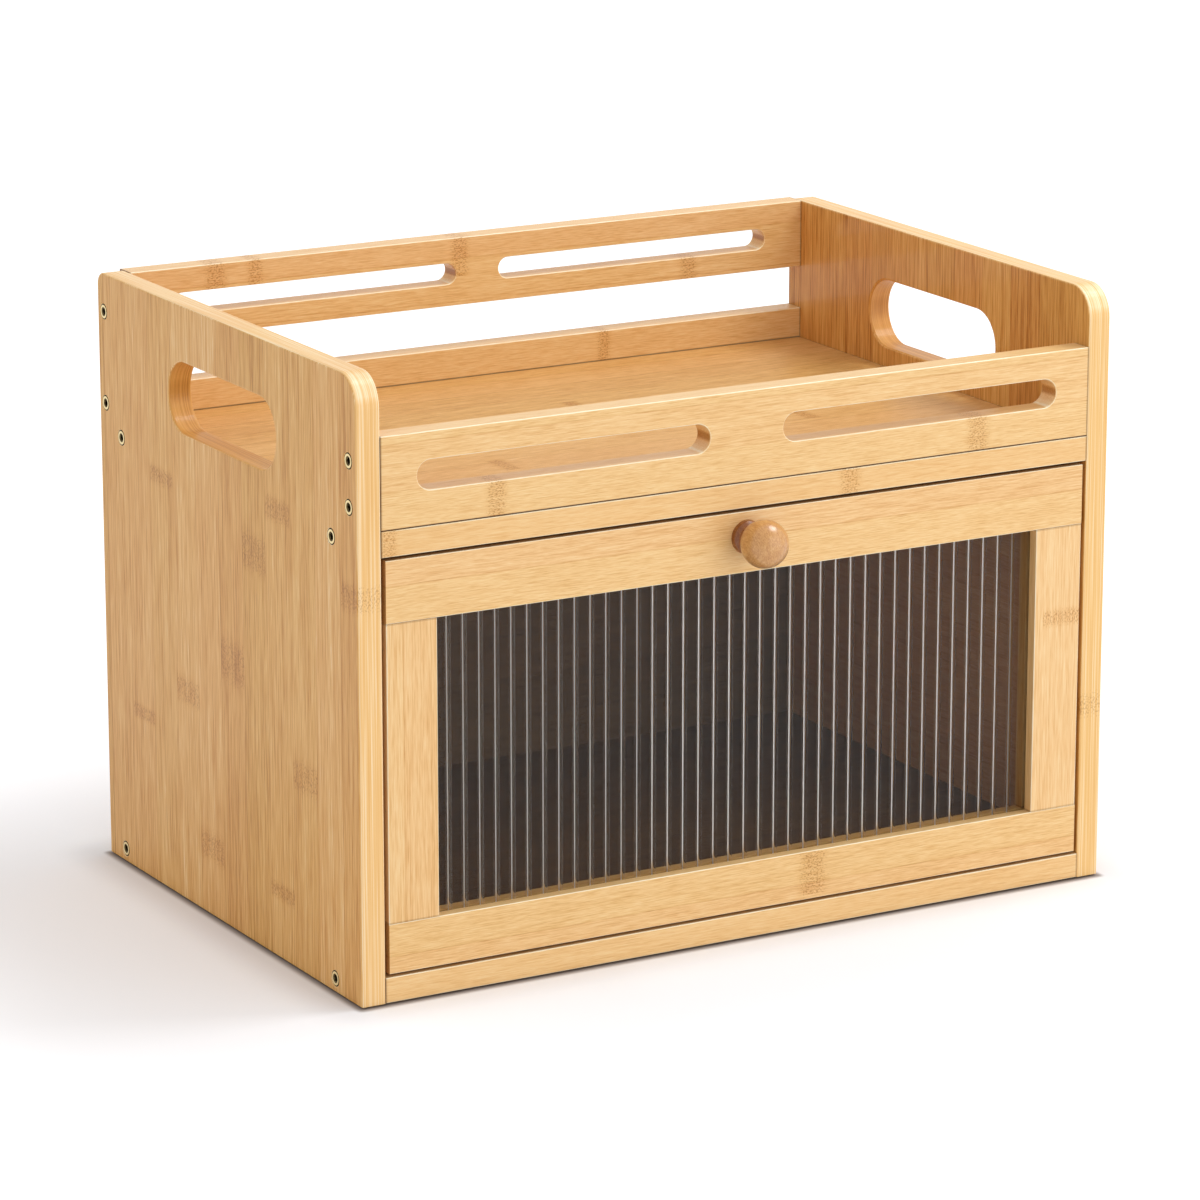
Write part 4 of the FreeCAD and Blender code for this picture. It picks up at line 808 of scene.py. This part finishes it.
def bead_rule(tree, given):
    place = add(tree, "ShaderNodeSeparateXYZ", {0: add(tree, "GeometryNodeInputPosition")})
    pitch = given.outputs["Pitch"]
    steps = add(tree, "ShaderNodeMath", {0: place.outputs["X"], 1: pitch}, operation="DIVIDE")
    steps = add(tree, "ShaderNodeMath", {0: steps}, operation="FRACT")
    off = add(tree, "ShaderNodeMath", {0: steps, 1: 0.5}, operation="SUBTRACT")
    off = add(tree, "ShaderNodeMath", {0: off, 1: pitch}, operation="MULTIPLY")
    off = add(tree, "ShaderNodeMath", {0: off}, operation="ABSOLUTE")
    half = add(tree, "ShaderNodeMath", {0: given.outputs["Bead Width"], 1: 0.5}, operation="MULTIPLY")
    wide = add(tree, "ShaderNodeMath", {0: off, 1: half}, operation="DIVIDE")
    share = add(tree, "ShaderNodeMath", {0: wide, 1: 1.0}, operation="MINIMUM")
    cube = add(tree, "ShaderNodeMath", {0: share, 1: 3.0}, operation="POWER")
    shape = add(tree, "ShaderNodeMath", {0: 1.0, 1: cube}, operation="SUBTRACT")
    reach = add(tree, "ShaderNodeMath", {0: given.outputs["Beads"], 1: pitch}, operation="MULTIPLY")
    reach = add(tree, "ShaderNodeMath", {0: reach, 1: 0.5}, operation="MULTIPLY")
    far = add(tree, "ShaderNodeMath", {0: place.outputs["X"]}, operation="ABSOLUTE")
    within = add(tree, "ShaderNodeMath", {0: far, 1: reach}, operation="LESS_THAN")
    height = add(tree, "ShaderNodeMath", {0: shape, 1: within}, operation="MULTIPLY")
    height = add(tree, "ShaderNodeMath", {0: height, 1: given.outputs["Bead Height"]}, operation="MULTIPLY")
    edge = add(tree, "ShaderNodeMath", {0: wide, 1: SHOULDER}, operation="SUBTRACT")
    edge = add(tree, "ShaderNodeMath", {0: edge}, operation="ABSOLUTE")
    mark = add(tree, "ShaderNodeMapRange", {"Value": edge, "From Min": SHOULDER_FADE[0],
                                            "From Max": SHOULDER_FADE[1]})
    return height, add(tree, "ShaderNodeMath", {0: mark, 1: within}, operation="MULTIPLY")


print("the frost is strongest at a share of", SHOULDER)

# %% The pane's tree: a grid, given its thickness, its beads, its marks and its place
# The pane lies flat while it is made, and is set upright at the end. Edges that bend by more than
# this many degrees stay sharp, and the rest are shaded smooth.
SHARP_BEND = 50


def pane_tree():
    tree, given = new_tree("ribbed_pane", (
        ("Width", "Float"), ("Height", "Float"), ("Thickness", "Float"), ("Pitch", "Float"),
        ("Bead Width", "Float"), ("Bead Height", "Float"), ("Beads", "Int"), ("Columns", "Int"),
        ("Middle", "Vector")))
    grid = add(tree, "GeometryNodeMeshGrid", {
        "Size X": given.outputs["Width"], "Size Y": given.outputs["Height"],
        "Vertices X": given.outputs["Columns"], "Vertices Y": 2})
    under = add(tree, "GeometryNodeFlipFaces", {"Mesh": grid})
    raised = add(tree, "GeometryNodeExtrudeMesh", {
        "Mesh": grid, "Offset Scale": given.outputs["Thickness"], "Individual": False})
    height, mark = bead_rule(tree, given)
    lift = add(tree, "ShaderNodeCombineXYZ", {"Z": height})
    beaded = add(tree, "GeometryNodeSetPosition", {
        "Geometry": raised, "Selection": raised.outputs["Top"], "Offset": lift})
    marked = add(tree, "GeometryNodeStoreNamedAttribute", {
        "Geometry": beaded, "Name": "shoulder", "Value": mark}, data_type="FLOAT", domain="POINT")
    whole = add(tree, "GeometryNodeJoinGeometry", {0: under})
    tree.links.new(marked.outputs[0], whole.inputs[0])
    welded = add(tree, "GeometryNodeMergeByDistance", {"Geometry": whole, "Distance": 0.01 * MM})
    upright = add(tree, "GeometryNodeTransform", {
        "Geometry": welded, "Translation": given.outputs["Middle"], "Rotation": (math.pi / 2, 0, 0)})
    bend = add(tree, "GeometryNodeInputMeshEdgeAngle")
    sharp = add(tree, "ShaderNodeMath", {0: bend, 1: math.radians(SHARP_BEND)}, operation="GREATER_THAN")
    smooth = add(tree, "ShaderNodeMath", {0: 1.0, 1: sharp}, operation="SUBTRACT")
    shaded = add(tree, "GeometryNodeSetShadeSmooth", {"Geometry": upright, "Shade Smooth": smooth},
                 domain="EDGE")
    shaded = add(tree, "GeometryNodeSetShadeSmooth", {"Geometry": shaded, "Shade Smooth": True},
                 domain="FACE")
    real = add(tree, "GeometryNodeRealizeInstances", {"Geometry": shaded})
    coated = add(tree, "GeometryNodeSetMaterial", {"Geometry": real, "Material": acrylic})
    add(tree, "NodeGroupOutput", {"Geometry": coated})
    return tree


ribbed = pane_tree()
print("the pane's tree has", len(ribbed.nodes), "nodes")

# %% Make the pane where the CAD pane is
low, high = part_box("window_pane")
BEAD_HEIGHT = 1.0 * MM
pane = grow("ribbed_window_pane", bpy.data.meshes.new("pane"), ribbed, {
    "Width": high.x - low.x, "Height": high.z - low.z, "Thickness": high.y - low.y - BEAD_HEIGHT,
    "Pitch": 8.2 * MM, "Bead Width": 2.4 * MM, "Bead Height": BEAD_HEIGHT, "Beads": 38, "Columns": 2600,
    "Middle": (0.0, high.y, (low.z + high.z) / 2)})
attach(pane, "drawer")
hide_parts("window_pane")

# %% [markdown]
# ## The side screws
# Sixteen countersunk screws hold the boards to the side panels. They are steel with antique brass
# plating: dark in the hexagon socket, dark down the rim with patina and painted shade of the gap
# round the head, and rubbed bright on the flat of the head, with a painted highlight. The head could
# be cut from a cone with a hexagon, but the worn edges come out better when one screw is drawn as
# rings of corners, from the bottom of the socket out to the rim and down to the tip.
# Geometry Nodes then set a copy at each place, each turned by a different angle, as a fitter leaves
# them.

# %% One screw, ring by ring
# Each ring is (radius, height, how much of a hexagon it is, how bright it is), in mm. The brightness
# is rubbed wear with a painted highlight on the flat, and patina with painted shade down the rim.
RINGS = (
    (1.70, -2.00, 1, 0.0), (1.73, -0.55, 1, 0.12), (1.95, -0.35, 0.4, 0.12), (2.15, -0.10, 0, 0.15),
    (2.30, -0.03, 0, 1.0), (3.00, 0.0, 0, 1.0), (3.20, -0.04, 0, 0.9), (3.35, -0.12, 0, 0.0),
    (3.97, -0.35, 0, 0.0), (2.10, -2.20, 0, 0.2), (2.10, -26.6, 0, 0.2), (1.0, -28.0, 0, 0.2))
CORNERS = 36
SIXTH, TWELFTH = math.radians(60), math.radians(30)


def one_screw():
    mesh, shape = bpy.data.meshes.new("brass_screw"), bmesh.new()
    wear_and_light_layer = shape.verts.layers.float.new("rubbed_and_painted_light")
    rings = []
    for radius, height, hexagon, bright in RINGS:
        ring = []
        for step in range(CORNERS):
            angle = math.radians(step * 360 / CORNERS)
            flat = math.cos(TWELFTH) / math.cos(angle % SIXTH - TWELFTH)
            reach = radius * (1 + hexagon * (flat - 1)) * MM
            corner = shape.verts.new((reach * math.cos(angle), reach * math.sin(angle), height * MM))
            corner[wear_and_light_layer] = bright
            ring.append(corner)
        rings.append(ring)
    for inner, outer in zip(rings, rings[1:]):
        for step in range(CORNERS):
            after = step + 1 - CORNERS
            shape.faces.new((inner[step], outer[step], outer[after], inner[after]))
    shape.faces.new(rings[0])
    shape.faces.new(rings[-1][::-1])
    bmesh.ops.recalc_face_normals(shape, faces=shape.faces)
    shape.to_mesh(mesh)
    shape.free()
    return mesh


print("a screw is", -RINGS[-1][1], "mm long, with", CORNERS, "corners to a ring")

# %% Antique brass
# The plating is mottled. Where the head is rubbed it is paler and smoother, and partly drawn as a
# plain colour, a painted highlight, so that its bright ring shows from every side. Down the rim it is
# dark, patina with painted shade.
BRASS_MOTTLE, MOTTLE_SHARE = 0.9 * MM, 0.35
BRASS_TONES = ((0.22, "#2e200a"), (1.0, "#f0d89c"))
brass, tree = new_finish("antique_brass_plating")
rubbed_and_painted_light = add(tree, "ShaderNodeAttribute", attribute_name="rubbed_and_painted_light").outputs["Fac"]
place = add(tree, "ShaderNodeTexCoord")
mottle = add(tree, "ShaderNodeTexNoise", {"Vector": place.outputs["Object"], "Scale": 1 / BRASS_MOTTLE,
                                          "Detail": 3.0})
mixed = add(tree, "ShaderNodeMath", {0: mottle, 1: MOTTLE_SHARE, 2: rubbed_and_painted_light}, operation="MULTIPLY_ADD")
ramp = add(tree, "ShaderNodeValToRGB", {0: mixed})
set_stops(ramp, BRASS_TONES)
rough = add(tree, "ShaderNodeMapRange", {"Value": rubbed_and_painted_light, "To Min": 0.55, "To Max": 0.28})
# Painted highlight: the rubbed ring is less metallic, so its pale colour shows as a bright ring.
metal = add(tree, "ShaderNodeMapRange", {"Value": rubbed_and_painted_light, "To Min": 1.0, "To Max": 0.45})
skin = add(tree, "ShaderNodeBsdfPrincipled", {"Base Color": ramp, "Metallic": metal, "Roughness": rough})
add(tree, "ShaderNodeOutputMaterial", {"Surface": skin})
print("darkest and brightest brass:", [shade for position, shade in BRASS_TONES])


# %% The tree that sets the screws
def screw_tree():
    tree, given = new_tree("side_screws", (("Screw", "Object"), ("Lean", "Rotation"), ("Seed", "Int")))
    screw = add(tree, "GeometryNodeObjectInfo", {"Object": given.outputs["Screw"]})
    turn = add(tree, "FunctionNodeRandomValue", {
        "Min": 0.0, "Max": 2 * math.pi, "Seed": given.outputs["Seed"]}, data_type="FLOAT")
    spin = add(tree, "ShaderNodeCombineXYZ", {"Z": turn.outputs[1]})
    spin = add(tree, "FunctionNodeEulerToRotation", {0: spin})
    pose = add(tree, "FunctionNodeRotateRotation", {0: given.outputs["Lean"], 1: spin},
               rotation_space="LOCAL")
    placed = add(tree, "GeometryNodeInstanceOnPoints", {
        "Points": given.outputs["Geometry"], "Instance": screw.outputs["Geometry"], "Rotation": pose})
    real = add(tree, "GeometryNodeRealizeInstances", {"Geometry": placed})
    coated = add(tree, "GeometryNodeSetMaterial", {"Geometry": real, "Material": brass})
    add(tree, "NodeGroupOutput", {"Geometry": coated})
    return tree


setting = screw_tree()
print("the screws' tree has", len(setting.nodes), "nodes")

# %% Read where the CAD screw heads are
# The corners that lie in the panel's face are those of the heads. Corners less than 10 mm from each
# other belong to one head, and the middle of their box is its middle.
IN_THE_FACE, ONE_HEAD = 0.01 * MM, 10 * MM


def head_places(node, face):
    heads = []
    for corner in NODES[node].data.vertices:
        if abs(corner.co.x - face) < IN_THE_FACE:
            near = [head for head in heads if (head[0] - corner.co).length < ONE_HEAD]
            if near:
                near[0].append(corner.co.copy())
            else:
                heads.append([corner.co.copy()])
    return [Vector([(min(axis) + max(axis)) / 2 for axis in zip(*head)]) for head in heads]


PLACES = {"left": head_places("left_side_screws", CAD_LOW.x),
          "right": head_places("right_side_screws", CAD_HIGH.x)}
for side, places in PLACES.items():
    print(side, "screws at", [(round(spot.y / MM), round(spot.z / MM)) for spot in places])

# %% Set the new screws there
pattern = bpy.data.objects.new("brass_screw", one_screw())
for side, lean, seed in (("left", -90, 7), ("right", 90, 12)):
    points = bpy.data.meshes.new(side + "_screw_places")
    points.from_pydata(PLACES[side], [], [])
    screws = grow(side + "_brass_screws", points, setting, {
        "Screw": pattern, "Lean": (0.0, math.radians(lean), 0.0), "Seed": seed})
    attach(screws, "case")
    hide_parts(side + "_side_screws")
bpy.data.objects.remove(pattern)

# %% Give every CAD part its finish
for part in ("left_side_screws", "right_side_screws"):
    FINISHES[part] = brass
FINISHES["window_pane"] = acrylic
for part, finish in FINISHES.items():
    slots = NODES[part].data.materials
    slots.clear()
    slots.append(finish)
print("parts without a finish:", sorted(set(NODES) - set(FINISHES)))

# %% [markdown]
# ## The size of the dressed box
# The dressed box's size is printed at the end, as the CAD model's was at the start. The dressed box
# may not outgrow the CAD model.

# %% Print the dressed size
low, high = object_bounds()
print("dressed size in mm:", [round(side / MM, 1) for side in high - low])
